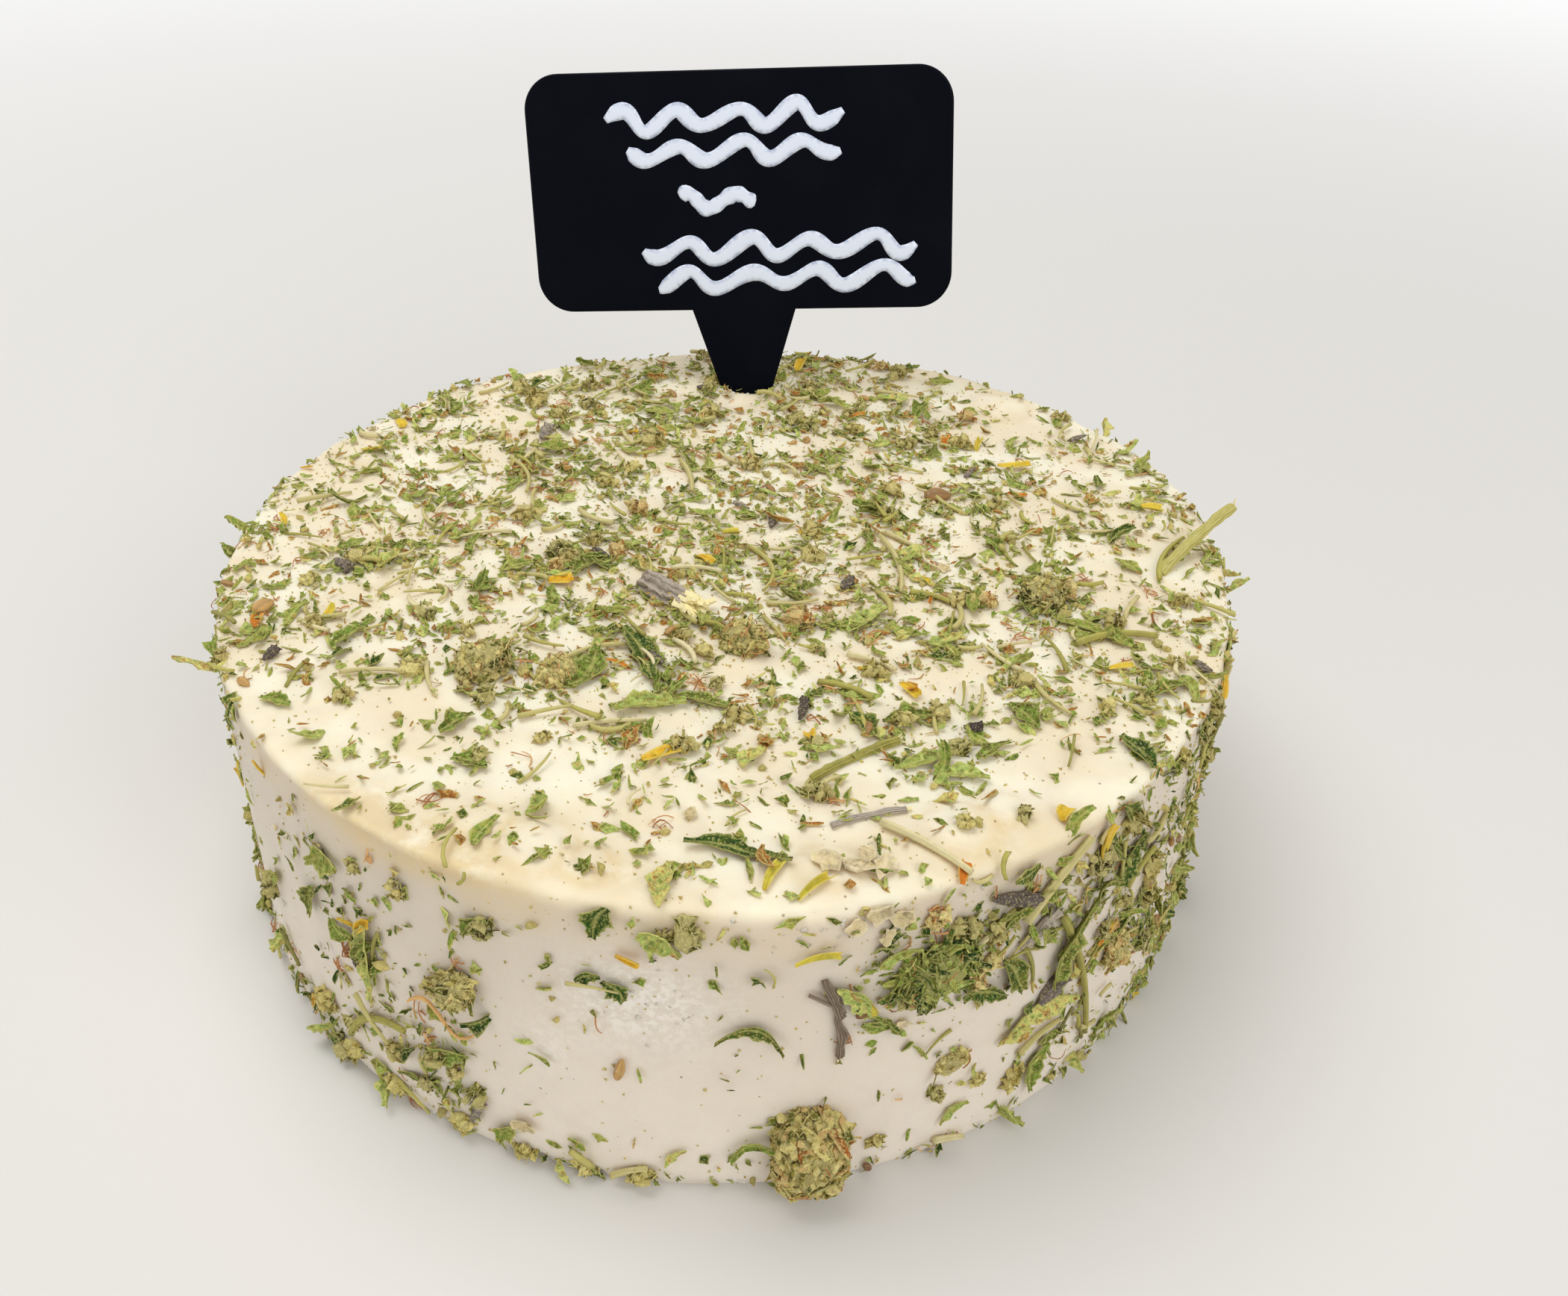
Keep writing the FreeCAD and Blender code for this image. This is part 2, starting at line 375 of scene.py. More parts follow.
def label_material(look):
    """Nearly black satin plastic with a faint moulding grain, handling haze and fine scratches."""
    mat = Finish(bpy.data.materials.new("label_plastic"))
    haze = mat.noise(7.0, 3.0, 0.55, 0.4).between(0.4, 0.75)
    colour = mat.mix(haze * 0.25, look.plastic, PLASTIC_HAZE)
    stretched = mat.node("ShaderNodeMapping", {"vector_type": "POINT"},
                         {"Vector": mat.place(), "Rotation": (0.2, 0.9, 0.4), "Scale": (900, 60, 2600)})
    scratch = mat.node("ShaderNodeTexNoise", inputs={"Vector": stretched, "Scale": 1.0, "Detail": 2.0})
    scratch = scratch.between(0.68, 0.74)
    grain = mat.noise(0.28, 2.0, 0.5, 0.1)
    rough = 0.36 + haze * 0.16 + scratch * 0.12
    normal = mat.bump(grain, 0.012, mat.bump(scratch, -0.006))
    return mat.finish(colour, rough, normal, Specular_IOR_Level=0.05)


def ink_material(look):
    """Dried chalk marker: pale blue-white, denser in the middle of the stroke, streaky at its edge."""
    mat = Finish(bpy.data.materials.new("marker_ink"))
    edge = mat.mark("part").between(0.35, 0.95)
    streak = mat.noise(0.7, 4.0, 0.65, 0.2)
    thin = edge * streak.between(0.35, 0.65)
    colour = mat.mix(thin * 0.7, look.ink, THIN_INK)
    normal = mat.bump(streak + mat.noise(0.2, 2.0) * 0.3, 0.03)
    return mat.finish(colour, 0.3 + streak * 0.25, normal, Coat_Weight=0.25, Coat_Roughness=0.2)


# ---------------------------------------------------------------- small shapes


# Thickness of dried leaf, petal and bract, in mm.
FLAKE_THICK = 0.09
PETAL_THICK = 0.1
LEAF_THICK = 0.12


class Shape:
    """A small closed shape: points in millimetres, triangles, and a mark on each point."""

    def __init__(self, points, faces, part):
        self.points = points
        self.faces = faces
        self.part = part


def draft():
    """A fresh bmesh, and the layer that holds each point's mark."""
    bm = bmesh.new()
    return bm, bm.verts.layers.float.new("part")


def take_shape(bm, thick=0.0):
    """Turns a finished bmesh into a Shape and frees it; a sheet is given its thickness first."""
    if thick:
        bmesh.ops.solidify(bm, geom=bm.faces[:], thickness=thick)
    mark = bm.verts.layers.float.get("part")
    bmesh.ops.triangulate(bm, faces=bm.faces[:])
    bmesh.ops.recalc_face_normals(bm, faces=bm.faces[:])
    points = np.array([v.co[:] for v in bm.verts])
    faces = np.array([[v.index for v in f.verts] for f in bm.faces])
    part = np.array([v[mark] if mark else 1.0 for v in bm.verts])
    bm.free()
    return Shape(points, faces, part)


def strip(bm, columns, rows):
    """Makes a flat strip and yields each point, how far along it is and how far to the side."""
    bmesh.ops.create_grid(bm, x_segments=columns, y_segments=rows, size=0.5)
    for vert in bm.verts:
        yield vert, vert.co.x + 0.5, vert.co.y * 2


def tube(bm, sides, cuts):
    """Makes a capped tube and yields each point, how far up it is, its angle and its ridge."""
    bmesh.ops.create_cone(
        bm, cap_ends=True, cap_tris=False, segments=sides, radius1=0.5, radius2=0.5, depth=1
    )
    if cuts:
        long_edges = [e for e in bm.edges if abs(e.verts[0].co.z - e.verts[1].co.z) > 0.5]
        bmesh.ops.subdivide_edges(bm, edges=long_edges, cuts=cuts)
    for vert in bm.verts:
        angle = math.atan2(vert.co.y, vert.co.x)
        yield vert, vert.co.z + 0.5, angle, 0.5 + 0.5 * math.cos(angle * sides / 2)


def flake_shape(rng, sides):
    """A torn bit of leaf about 1 mm across: a jagged fan, creased and crumpled."""
    bm, mark = draft()
    stretch = math.sqrt(rng.uniform(1.1, 2.9))
    fold = rng.uniform(-0.6, 0.8)
    turn = rng.uniform(-0.5, 0.5)
    bmesh.ops.create_circle(bm, cap_ends=True, cap_tris=True, segments=sides, radius=0.5)
    for i, vert in enumerate(bm.verts):
        vert[mark] = vert.co.length * 2
        jag = rng.uniform(0.9, 1.3) if i % 2 else rng.uniform(0.5, 0.85)
        x = vert.co.x * jag * stretch
        y = vert.co.y * jag / stretch
        across = x * math.sin(turn) + y * math.cos(turn)
        vert.co = Vector((x, y, fold * abs(across) + rng.uniform(-0.1, 0.1)))
    return take_shape(bm, FLAKE_THICK)


def shred_shape(rng):
    """A narrow sliver of leaf, bowed and twisted, with nibbled edges."""
    bm, mark = draft()
    length = rng.uniform(1.8, 3.4)
    width = rng.uniform(0.45, 0.85)
    bow = rng.uniform(-0.3, 0.3) * length
    curl = rng.uniform(-0.1, 0.3) * length
    twist = rng.uniform(-1.3, 1.3)
    for vert, t, side in strip(bm, 4, 1):
        vert[mark] = 0.75 + 0.25 * side
        y = side * width / 2 * (0.22 + 0.78 * math.sin(math.pi * (0.08 + 0.84 * t)))
        y *= rng.uniform(0.5, 1.35)
        roll = twist * (t - 0.5)
        away = (t - 0.5) ** 2
        vert.co = Vector(((t - 0.5) * length, y * math.cos(roll) + bow * away,
                          y * math.sin(roll) + curl * away))
    return take_shape(bm, PETAL_THICK)


def leaf_shape(rng, length, width, columns, teeth, curl, fold):
    """A longer piece of leaf with a midrib, toothed edges, a lengthwise fold and a curl."""
    bm, mark = draft()
    tip = rng.uniform(0.35, 0.7)
    twist = rng.uniform(-0.8, 0.8)
    for vert, t, side in strip(bm, columns, 4):
        vert[mark] = abs(side)
        swell = max(0.14, (t / tip if t < tip else (1 - t) / (1 - tip))) ** 0.65
        ragged = 1 + teeth * rng.uniform(-1, 1) * (abs(side) > 0.9)
        y = side * width / 2 * swell * ragged
        x = (t - 0.5) * length
        lift = fold * abs(y) + curl * length * (t - 0.5) ** 2 + rng.uniform(-0.04, 0.04) * width
        sway = 0.12 * length * math.sin(t * 3.1 + twist)
        roll = twist * (t - 0.5)
        vert.co = Vector((x, y * math.cos(roll) + sway, lift + y * math.sin(roll)))
    return take_shape(bm, LEAF_THICK)


def crumb_shape(rng, fineness, rough):
    """A rough grain about 1 mm across."""
    bm = bmesh.new()
    bmesh.ops.create_icosphere(bm, subdivisions=fineness, radius=0.5)
    offset = Vector((rng.uniform(0, 50), rng.uniform(0, 50), rng.uniform(0, 50)))
    squash = rng.uniform(0.55, 0.95)
    for vert in bm.verts:
        swell = 1 + rough * noise.noise(vert.co * 3.1 + offset) + rng.uniform(-0.5, 0.5) * rough
        vert.co = vert.co * swell
        vert.co.z *= squash
    return take_shape(bm)


def rod_shape(length, thick, sides=6, cuts=3, taper=0.8, path=None, ribs=0.0):
    """A stalk along X whose middle line follows path(t), with lengthwise ribs if wanted."""
    bm, mark = draft()
    for vert, t, angle, ridge in tube(bm, sides, cuts):
        vert[mark] = ridge if ribs else 1.0
        reach = thick / 2 * (1 + (taper - 1) * t) * (1 + ribs * (ridge - 0.5))
        bow, rise = path(t) if path else (0.0, 0.0)
        vert.co = Vector(((t - 0.5) * length, reach * math.cos(angle) + bow,
                          reach * math.sin(angle) + rise))
    return take_shape(bm)


def arch(bow, rise):
    """A middle line that bows to the side and lies at one height."""
    return lambda t: (bow * 4 * t * (1 - t), rise)


def cup_shape(rng, length, width):
    """A dried flower cup: a ribbed tube, narrow at the stalk, crumpled at its open end."""
    bm, mark = draft()
    bow = rng.uniform(-0.5, 0.5)
    for vert, t, angle, ridge in tube(bm, 14, 6):
        vert[mark] = ridge
        swell = 0.32 + 0.68 * math.sin(min(1.0, t * 1.25) * math.pi * 0.62)
        swell *= 1 + 0.6 * (ridge - 0.5) + rng.uniform(-0.24, 0.24) * (1 + 1.4 * (t > 0.9))
        reach = width / 2 * swell
        sway = bow * (t - 0.5) ** 2 * width
        vert.co = Vector(((t - 0.5) * length, reach * math.cos(angle) + sway,
                          reach * 0.85 * math.sin(angle)))
    return take_shape(bm)


def petal_shape(rng, length, width):
    """A dried petal: a narrow strap, folded along its length, square-ended and crinkled."""
    bm, mark = draft()
    fold = rng.uniform(0.25, 0.95)
    curl = rng.uniform(-0.15, 0.35)
    for vert, t, side in strip(bm, 7, 4):
        vert[mark] = 0.4 + 0.6 * abs(side)
        swell = 0.45 + 0.55 * math.sin(min(1, t * 1.3) * math.pi / 2)
        y = side * width / 2 * swell
        lift = fold * abs(y) + curl * length * (t - 0.5) ** 2 + 0.07 * math.sin(9 * side)
        end = 0.12 * rng.uniform(-1, 1) * (t > 0.95)
        vert.co = Vector(((t - 0.5 + end) * length, y + 0.2 * math.sin(3 * t), lift))
    return take_shape(bm, PETAL_THICK)


def scale_shape(rng, length, width):
    """A papery bract: a shallow bowl with a ragged edge."""
    bm, mark = draft()
    bmesh.ops.create_circle(bm, cap_ends=True, cap_tris=True, segments=11, radius=0.5)
    inner = [e for e in bm.edges if min(v.co.length for v in e.verts) < 0.1]
    bmesh.ops.subdivide_edges(bm, edges=inner, cuts=2)
    for vert in bm.verts:
        reach = vert.co.length * 2
        vert[mark] = reach
        ragged = rng.uniform(0.55, 1.15) if reach > 0.9 else rng.uniform(0.8, 1.1)
        x = vert.co.x * length * ragged
        y = vert.co.y * width * ragged
        vert.co = Vector((x, y, 0.42 * reach**2 * width * 0.5 + rng.uniform(-0.14, 0.14)))
    return take_shape(bm, PETAL_THICK)


def seed_shape(_rng, length, width):
    """A smooth seed with a pointed end; all seeds are alike, so it takes no random draws."""
    bm, mark = draft()
    bmesh.ops.create_uvsphere(bm, u_segments=12, v_segments=8, radius=0.5)
    for vert in bm.verts:
        x, y, z = vert.co
        point = 1 - 0.45 * (z + 0.5) ** 2
        vert[mark] = 0.5 + 0.5 * math.cos(math.atan2(y, x) * 5)
        vert.co = Vector((z * length, x * width * point, y * width * 0.7 * point))
    return take_shape(bm)


def speck_shape():
    """The smallest speck: a tetrahedron."""
    bm = bmesh.new()
    bmesh.ops.create_cone(
        bm, cap_ends=True, cap_tris=False, segments=3, radius1=0.6, radius2=0.0, depth=0.8
    )
    bmesh.ops.remove_doubles(bm, verts=bm.verts[:], dist=1e-4)
    return take_shape(bm)


def merged(pieces):
    """One Shape out of several: (shape, 3 by 3 turn and size, offset)."""
    points, faces, part, count = [], [], [], 0
    for shape, turn, offset in pieces:
        points.append(shape.points @ np.array(turn).T + np.array(offset))
        faces.append(shape.faces + count)
        part.append(shape.part)
        count += len(shape.points)
    return Shape(np.concatenate(points), np.concatenate(faces), np.concatenate(part))


class Drift:
    """Many copies of small shapes that become one piece of mesh."""

    def __init__(self):
        self.points, self.faces, self.part, self.tint = [], [], [], []
        self.count = 0

    def add(self, shape, turn, place, size, tint):
        """Puts a copy down: turn is a quaternion, place in metres, size a factor or three."""
        matrix = np.array(turn.to_matrix()) * np.array(size)
        self.points.append(shape.points @ matrix.T * MM + np.array(place))
        self.faces.append(shape.faces + self.count)
        self.part.append(shape.part)
        self.tint.append(np.full(len(shape.points), tint))
        self.count += len(shape.points)

    def build(self, name, material, slot, smooth=False):
        """Joins the copies; one that would reach below the floor is lifted onto it."""
        for points in self.points:
            points[:, 2] += max(0.0, FLOOR_GAP - points[:, 2].min())
        mesh = bpy.data.meshes.new(name)
        mesh.from_pydata(np.concatenate(self.points), [], np.concatenate(self.faces))
        for label, values in (("part", self.part), ("tint", self.tint)):
            layer = mesh.attributes.new(label, "FLOAT", "POINT")
            layer.data.foreach_set("value", np.concatenate(values).astype(np.float32))
        if smooth:
            mesh.shade_smooth()
        return show(name, mesh, material, slot)


def in_scene(name, data):
    """A new object in the scene."""
    made = bpy.data.objects.new(name, data)
    bpy.context.scene.collection.objects.link(made)
    return made


def finished_mesh(name, bm):
    """Turns a bmesh into a mesh and frees it."""
    mesh = bpy.data.meshes.new(name)
    bm.to_mesh(mesh)
    bm.free()
    return mesh


def show(name, mesh, material, slot):
    """Makes a piece of the object from a finished mesh."""
    piece = in_scene(name, mesh)
    mesh.materials.append(material)
    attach(piece, "root")
    return piece


# ---------------------------------------------------------------- where herbs lie


def ripple(co, size_mm):
    """Smooth noise from -1 to 1 with waves of about this size."""
    return noise.noise(co / (size_mm * MM))


# Fewer or more herbs round a place on the top: X, Y, reach in mm, change.
TOP_PATCHES = (
    (33, 24, 14, -0.34), (41, -2, 11, -0.44), (28, 42, 15, -0.40), (-43, 4, 7, -0.25),
    (-36, -27, 11, -0.22), (-22, 32, 12, -0.24), (-38, -10, 6, -0.25), (-5, 5, 4, -0.22),
    (14, 12, 5, -0.20), (-31, -17, 7, -0.20), (15, -32, 8, 0.10), (-9, -20, 7, 0.06),
    (24, -27, 7, 0.02), (30, -38, 7, -0.22), (-17, -6, 7, 0.14), (-38, 16, 8, -0.20),
    (-6, -29, 6, 0.14), (-17, -29, 6, 0.10), (28, -8, 7, -0.14), (-5, 20, 10, -0.10),
)
# The same on the wall: bearing, height, reach round in degrees, reach up in mm, change.
WALL_PATCHES = (
    (237, 16, 7, 7, 0.24), (243, 7, 5, 5, 0.26), (228, 25, 6, 5, 0.12), (228, 4, 8, 3, 0.16),
    (290, 25, 6, 6, 0.50), (302, 26, 10, 6, 0.34), (309, 12, 6, 8, 0.26), (318, 20, 8, 10, 0.42),
    (333, 6, 10, 7, 0.40), (340, 26, 14, 8, 0.42), (270, 31, 9, 2, 0.14), (248, 29, 8, 3, 0.10),
    (12, 16, 14, 12, 0.45), (40, 8, 12, 8, 0.35), (62, 24, 16, 9, 0.45), (95, 14, 18, 14, 0.42),
    (128, 22, 14, 9, 0.40), (150, 6, 12, 7, 0.45), (176, 18, 12, 12, 0.35), (203, 27, 9, 7, 0.2),
    (200, 6, 9, 6, 0.20),
)
BARE_WALL = 0.026  # cover where the wall is almost bare
FRINGE = 0.32  # and what the fringe along the foot adds to it
FRINGE_REACH = 2.2
BARE_TOP = 0.16  # cover at the front of the top
FULL_TOP = 0.5  # and what is added towards the back
THICKENS_FROM = -40  # Y in mm at which the top's coat starts to thicken
THICKENS_OVER = 27
TOP_SHARE = 0.44  # share of the draws that fall on the top
TOP_THINNING = 0.78
FOOT_FREE = 0.6  # mm of the wall above the floor without herbs
RIM_FREE = 0.5  # and below the rim
CLUMP = 3.4  # size of the clumps in mm
CLUMP_GAIN = 1.6


def top_cover(x, y):
    """How thick the herbs lie on the top at a place in mm, from 0 to 1."""
    ease = min(1.0, max(0.0, (y - THICKENS_FROM) / THICKENS_OVER))
    cover = BARE_TOP + FULL_TOP * ease * ease * (3 - 2 * ease)
    for px, py, reach, change in TOP_PATCHES:
        cover += change * math.exp(-((x - px) ** 2 + (y - py) ** 2) / reach**2)
    return TOP_THINNING * cover


def wall_cover(bearing, height):
    """The same on the wall, where a fringe of crumbs runs along the foot."""
    cover = BARE_WALL + FRINGE * math.exp(-((height / FRINGE_REACH) ** 2))
    for at, up, round_reach, up_reach, change in WALL_PATCHES:
        off = (bearing - at + 180) % 360 - 180
        cover += change * math.exp(-((off / round_reach) ** 2) - ((height - up) / up_reach) ** 2)
    return cover


class Ground:
    """The surface of the wheel as the place where herbs are put."""

    def __init__(self):
        graph = bpy.context.evaluated_depsgraph_get()
        self.tree = BVHTree.FromObject(bpy.data.objects[WHEEL], graph)

    def top(self, x, y):
        """The place on the top and its outward direction, or None and None beside the wheel."""
        return self.tree.ray_cast(Vector((x * MM, y * MM, HEIGHT * 2)), -UP)[:2]

    def wall(self, bearing, height):
        """The same on the wall."""
        angle = math.radians(bearing)
        out = Vector((math.cos(angle), math.sin(angle), 0))
        return self.tree.ray_cast(out * RADIUS * 2 + UP * height * MM, -out)[:2]

    def by_hand(self, side, first, second, turn):
        """A place on the top or the wall, its outward direction, and a turn along the surface."""
        spot, normal = getattr(self, side)(first, second)
        return spot, normal, along(normal, run_on(normal, turn))

    def scatter(self, rng, count, power=2.4):
        """Yields places with their outward direction, more where the coat is thick."""
        left = count
        while left:
            on_top = rng.random() < TOP_SHARE
            if on_top:
                reach = RADIUS / MM * math.sqrt(rng.random())
                angle = rng.uniform(0, FULL_TURN)
                where = (reach * math.cos(angle), reach * math.sin(angle))
            else:
                where = (rng.uniform(0, 360), rng.uniform(FOOT_FREE, HEIGHT / MM - RIM_FREE))
            cover = top_cover(*where) if on_top else wall_cover(*where)
            if rng.random() > cover:
                continue
            spot, normal = self.top(*where) if on_top else self.wall(*where)
            if spot is None:
                continue
            clump = 0.5 + 0.5 * ripple(spot, CLUMP)
            if rng.random() > (clump * CLUMP_GAIN) ** power:
                continue
            left -= 1
            yield spot, normal


def lying(normal, spin, tilt, about):
    """A turn that lays a shape's XY plane on the surface, spun and tilted."""
    turn = normal.to_track_quat("Z", "Y") @ Quaternion((0, 0, 1), spin)
    lean = Quaternion((math.cos(about), math.sin(about), 0), tilt)
    return turn @ lean


def along(normal, run):
    """A turn that lays a shape with its X axis along the given run on the surface."""
    side = normal.cross(run).normalized()
    ahead = side.cross(normal)
    return Matrix((ahead, side, normal)).transposed().to_quaternion()


def run_on(normal, turn):
    """Direction along the surface: turn in degrees from +X on the top, or from level on the wall."""
    level = UP.cross(normal).normalized() if normal.z < FACING_UP else Vector((1, 0, 0))
    level = (level - normal * level.dot(normal)).normalized()
    return Quaternion(normal, math.radians(turn)) @ level


# Pieces laid one by one: side, X or bearing, Y or height, turn, length, width, tone.
LEAVES_BY_HAND = (
    ("top", -8, -20, -58, 8.6, 3.2, 0.12), ("top", -12.5, -22, -112, 6.4, 2.8, 0.36),
    ("top", -6, -27.4, 18, 6.2, 2.6, 0.62), ("top", -1.5, -26.6, -6, 6.0, 1.7, 0.3),
    ("top", 1, -44.6, -4, 6.0, 1.7, 0.1), ("top", 4.4, -45.4, -24, 4.6, 1.5, 0.2),
    ("top", 35, -31, -64, 4.6, 2.0, 0.08), ("top", 17, -33.4, 12, 5.2, 1.6, 0.62),
    ("top", 20, -35, -6, 4.6, 1.6, 0.68), ("top", 12, -28.6, -52, 3.6, 2.0, 0.2),
    ("top", 16, -27.6, 24, 4.4, 2.0, 0.3), ("top", 39, -22, 22, 4.4, 2.0, 0.32),
    ("top", 33, -13, -30, 6.4, 1.7, 0.52), ("top", -34, -18, 55, 4.4, 2.0, 0.36),
    ("top", -22, -30.4, 38, 3.4, 2.0, 0.3), ("top", -38, -28, -12, 3.0, 1.6, 0.4),
    ("top", 29, -9, 82, 5.4, 1.9, 0.16), ("top", 13, -13, 42, 5.6, 2.2, 0.74),
    ("top", -3, -48.6, 74, 4.6, 2.0, 0.84), ("top", -20, -35.4, -30, 3.2, 2.0, 0.3),
    ("top", 3, -33.6, 66, 3.0, 1.8, 0.84), ("top", 26, -26.6, -50, 3.8, 2.2, 0.34),
    ("top", -14, -5, 62, 4.6, 2.2, 0.26), ("top", 23, -31.4, 30, 3.8, 1.6, 0.3),
    ("wall", 304.2, 12.4, 6, 8.4, 2.4, 0.84), ("wall", 301, 11.6, -12, 3.8, 2.0, 0.88),
    ("wall", 283, 22.4, -56, 4.8, 2.0, 0.74), ("wall", 236.4, 17.0, 84, 8.8, 2.6, 0.8),
    ("wall", 227.5, 19, 78, 4.2, 2.2, 0.3), ("wall", 231, 25, 20, 5.0, 2.4, 0.56),
    ("wall", 307.6, 19.6, 78, 10.5, 2.8, 0.3), ("wall", 299.4, 19.6, -52, 4.8, 2.4, 0.2),
    ("wall", 296.4, 18.6, -12, 4.6, 2.0, 0.12), ("wall", 301, 26.6, 12, 6.2, 2.0, 0.26),
    ("wall", 313, 30.4, -58, 5.2, 2.0, 0.2), ("wall", 315.6, 24.6, 62, 5.0, 2.8, 0.14),
    ("wall", 249.6, 27, 50, 3.4, 1.6, 0.3), ("wall", 262, 23, -60, 2.6, 1.8, 0.06),
    ("wall", 259.8, 24.2, 20, 2.2, 1.4, 0.1), ("wall", 266.4, 29.4, -24, 3.8, 2.4, 0.68),
    ("wall", 261.4, 30.8, 70, 3.2, 2.4, 0.12), ("wall", 244.6, 9.8, 44, 6.0, 2.2, 0.4),
    ("wall", 305, 5.4, 70, 5.2, 2.2, 0.42), ("wall", 250.6, 3.0, 70, 3.2, 2.0, 0.5),
    ("wall", 267.4, 4.4, 55, 3.0, 0.8, 0.8), ("wall", 258, 4.4, -40, 1.8, 0.9, 0.5),
    ("wall", 294.6, 5.0, 30, 3.2, 1.1, 0.66), ("wall", 218, 15, 60, 3.6, 1.6, 0.6),
)
# Two single pieces: side, bearing, height and turn.
BOWED_LEAF = ("wall", 274.4, 19.3, -14)
CURLY_STALK = ("wall", 244.6, 14.8, -6)
PETALS_BY_HAND = (
    ("top", -16.5, -8, 8, 2.3, 1.7, 0.1), ("top", -4.4, -33.6, 24, 3.6, 1.5, 0.25),
    ("top", -3.0, -3.6, -48, 2.0, 1.1, 0.15), ("top", 5.0, -47.4, 66, 3.0, 0.8, 0.7),
    ("top", 8.2, -48.6, 40, 3.3, 0.7, 0.65), ("top", 30, 19, 8, 3.8, 1.2, 0.4),
    ("top", 43.4, 10, 0, 2.2, 1.3, 0.5), ("top", 28, -39, 62, 1.5, 1.3, 0.4),
    ("top", 6, 44, 80, 3.4, 1.2, 0.3), ("top", -0.6, 2, 10, 1.8, 0.9, 0.7),
    ("wall", 309.6, 29.6, 82, 4.0, 1.1, 0.25), ("wall", 235.8, 20.8, 52, 2.8, 1.0, 0.2),
    ("wall", 313, 17, 48, 3.0, 0.9, 0.95), ("wall", 279.4, 28.8, 6, 3.6, 0.8, 0.65),
    ("wall", 284.4, 21.4, -58, 3.2, 0.6, 0.6), ("wall", 223.6, 3.6, 60, 2.8, 0.8, 0.9),
)
CUPS_BY_HAND = (
    ("wall", 298.4, 28.6, -22, 5.0, 1.3, 0.3), ("wall", 305.2, 15.2, 34, 3.4, 1.6, 0.5),
    ("top", 7, -27, 82, 3.0, 0.8, 0.1), ("top", -40.4, -21.4, 72, 2.0, 0.9, 0.2),
    ("top", -22.6, 23, 80, 3.0, 1.2, 0.75), ("top", 11, -7, 60, 1.8, 1.1, 0.3),
    ("top", -38, -6, -40, 2.4, 1.2, 0.5), ("wall", 247.6, 4.6, 70, 3.4, 1.0, 0.7),
    ("wall", 302, 23.8, 35, 4.4, 1.0, 0.95), ("top", 21.5, -28.5, 5, 1.6, 1.0, 0.0),
)
# Stalks: as above with the bow of the middle line in mm at the end.
STALKS_BY_HAND = (
    ("top", 2.2, -4.6, -78, 8.4, 0.55, 0.5, 1.6), ("top", 15.4, -2.6, -80, 10.0, 0.6, 0.72, 0.8),
    ("top", 17.0, 1.4, -42, 5.2, 0.5, 0.8, 0.2), ("top", 19.0, -8.4, -22, 4.0, 0.6, 0.35, 0.4),
    ("top", -9.2, -29.8, 10, 6.2, 0.5, 0.85, 0.3), ("top", -11.6, -19.8, 26, 6.6, 0.55, 0.66, 0.9),
    ("top", 16.6, -43.6, -38, 8.4, 0.75, 0.92, 0.4), ("top", -24, 13, -68, 8.0, 0.5, 0.6, 1.0),
    ("top", -6, 14, -76, 7.0, 0.6, 0.7, 0.4), ("top", 13, -19.6, -28, 4.6, 0.6, 0.9, 0.3),
    ("top", 36, -14.4, 14, 8.0, 0.8, 0.3, 0.9), ("top", -31, -23.6, 4, 5.2, 0.5, 0.8, 0.3),
    ("top", 44, 1, 64, 9.0, 0.6, 0.4, 0.8), ("top", -3.6, -5.6, -8, 5.0, 0.5, 0.95, 0.5),
    ("wall", 308.6, 14.6, -70, 20.0, 0.75, 0.25, 1.0), ("wall", 303.6, 28.4, 42, 8.6, 0.9, 0.7, 0.2),
    ("wall", 304.6, 9.6, 14, 5.0, 0.6, 0.6, 0.4), ("wall", 235.6, 8.2, 36, 9.4, 0.8, 0.3, 1.4),
    ("wall", 301.2, 20.2, -72, 4.6, 0.5, 0.2, 0.3), ("wall", 295.6, 24.6, 32, 5.4, 0.6, 0.9, 0.6),
    ("wall", 263, 2.0, 28, 3.6, 0.7, 0.7, 0.2), ("wall", 294.4, 1.8, -18, 3.2, 0.7, 0.9, 0.1),
)
SEEDS_BY_HAND = (
    ("top", -43.4, -13.5, 62, 2.4, 2.1, 1.0), ("top", 21, 11.4, 10, 3.0, 2.4, 0.3),
    ("wall", 262.4, 14.4, 78, 2.4, 1.0, 0.9), ("wall", 284, 20.6, 0, 1.2, 0.8, 0.0),
)
SCALES_BY_HAND = (
    ("top", 11.2, -46.6, 20, 3.4, 2.4, 0.1), ("top", 9.0, -46.2, -40, 2.8, 2.0, 0.3),
    ("top", 13.2, -46.0, 70, 2.8, 2.0, 0.0), ("wall", 284.4, 32.0, 10, 3.0, 2.0, 0.3),
    ("wall", 286.6, 31.0, -30, 2.6, 1.8, 0.5), ("wall", 282.4, 31.2, 50, 2.4, 1.6, 0.2),
    ("wall", 285.2, 29.6, 80, 2.0, 1.4, 0.6), ("top", 12.0, -44.8, 100, 2.2, 1.6, 0.2),
    ("top", -27.5, -22.6, 10, 3.2, 2.4, 0.8), ("wall", 252.6, 5.0, 15, 2.4, 1.8, 0.6),
    ("wall", 288, 18.4, 0, 1.8, 0.9, 0.0),
)

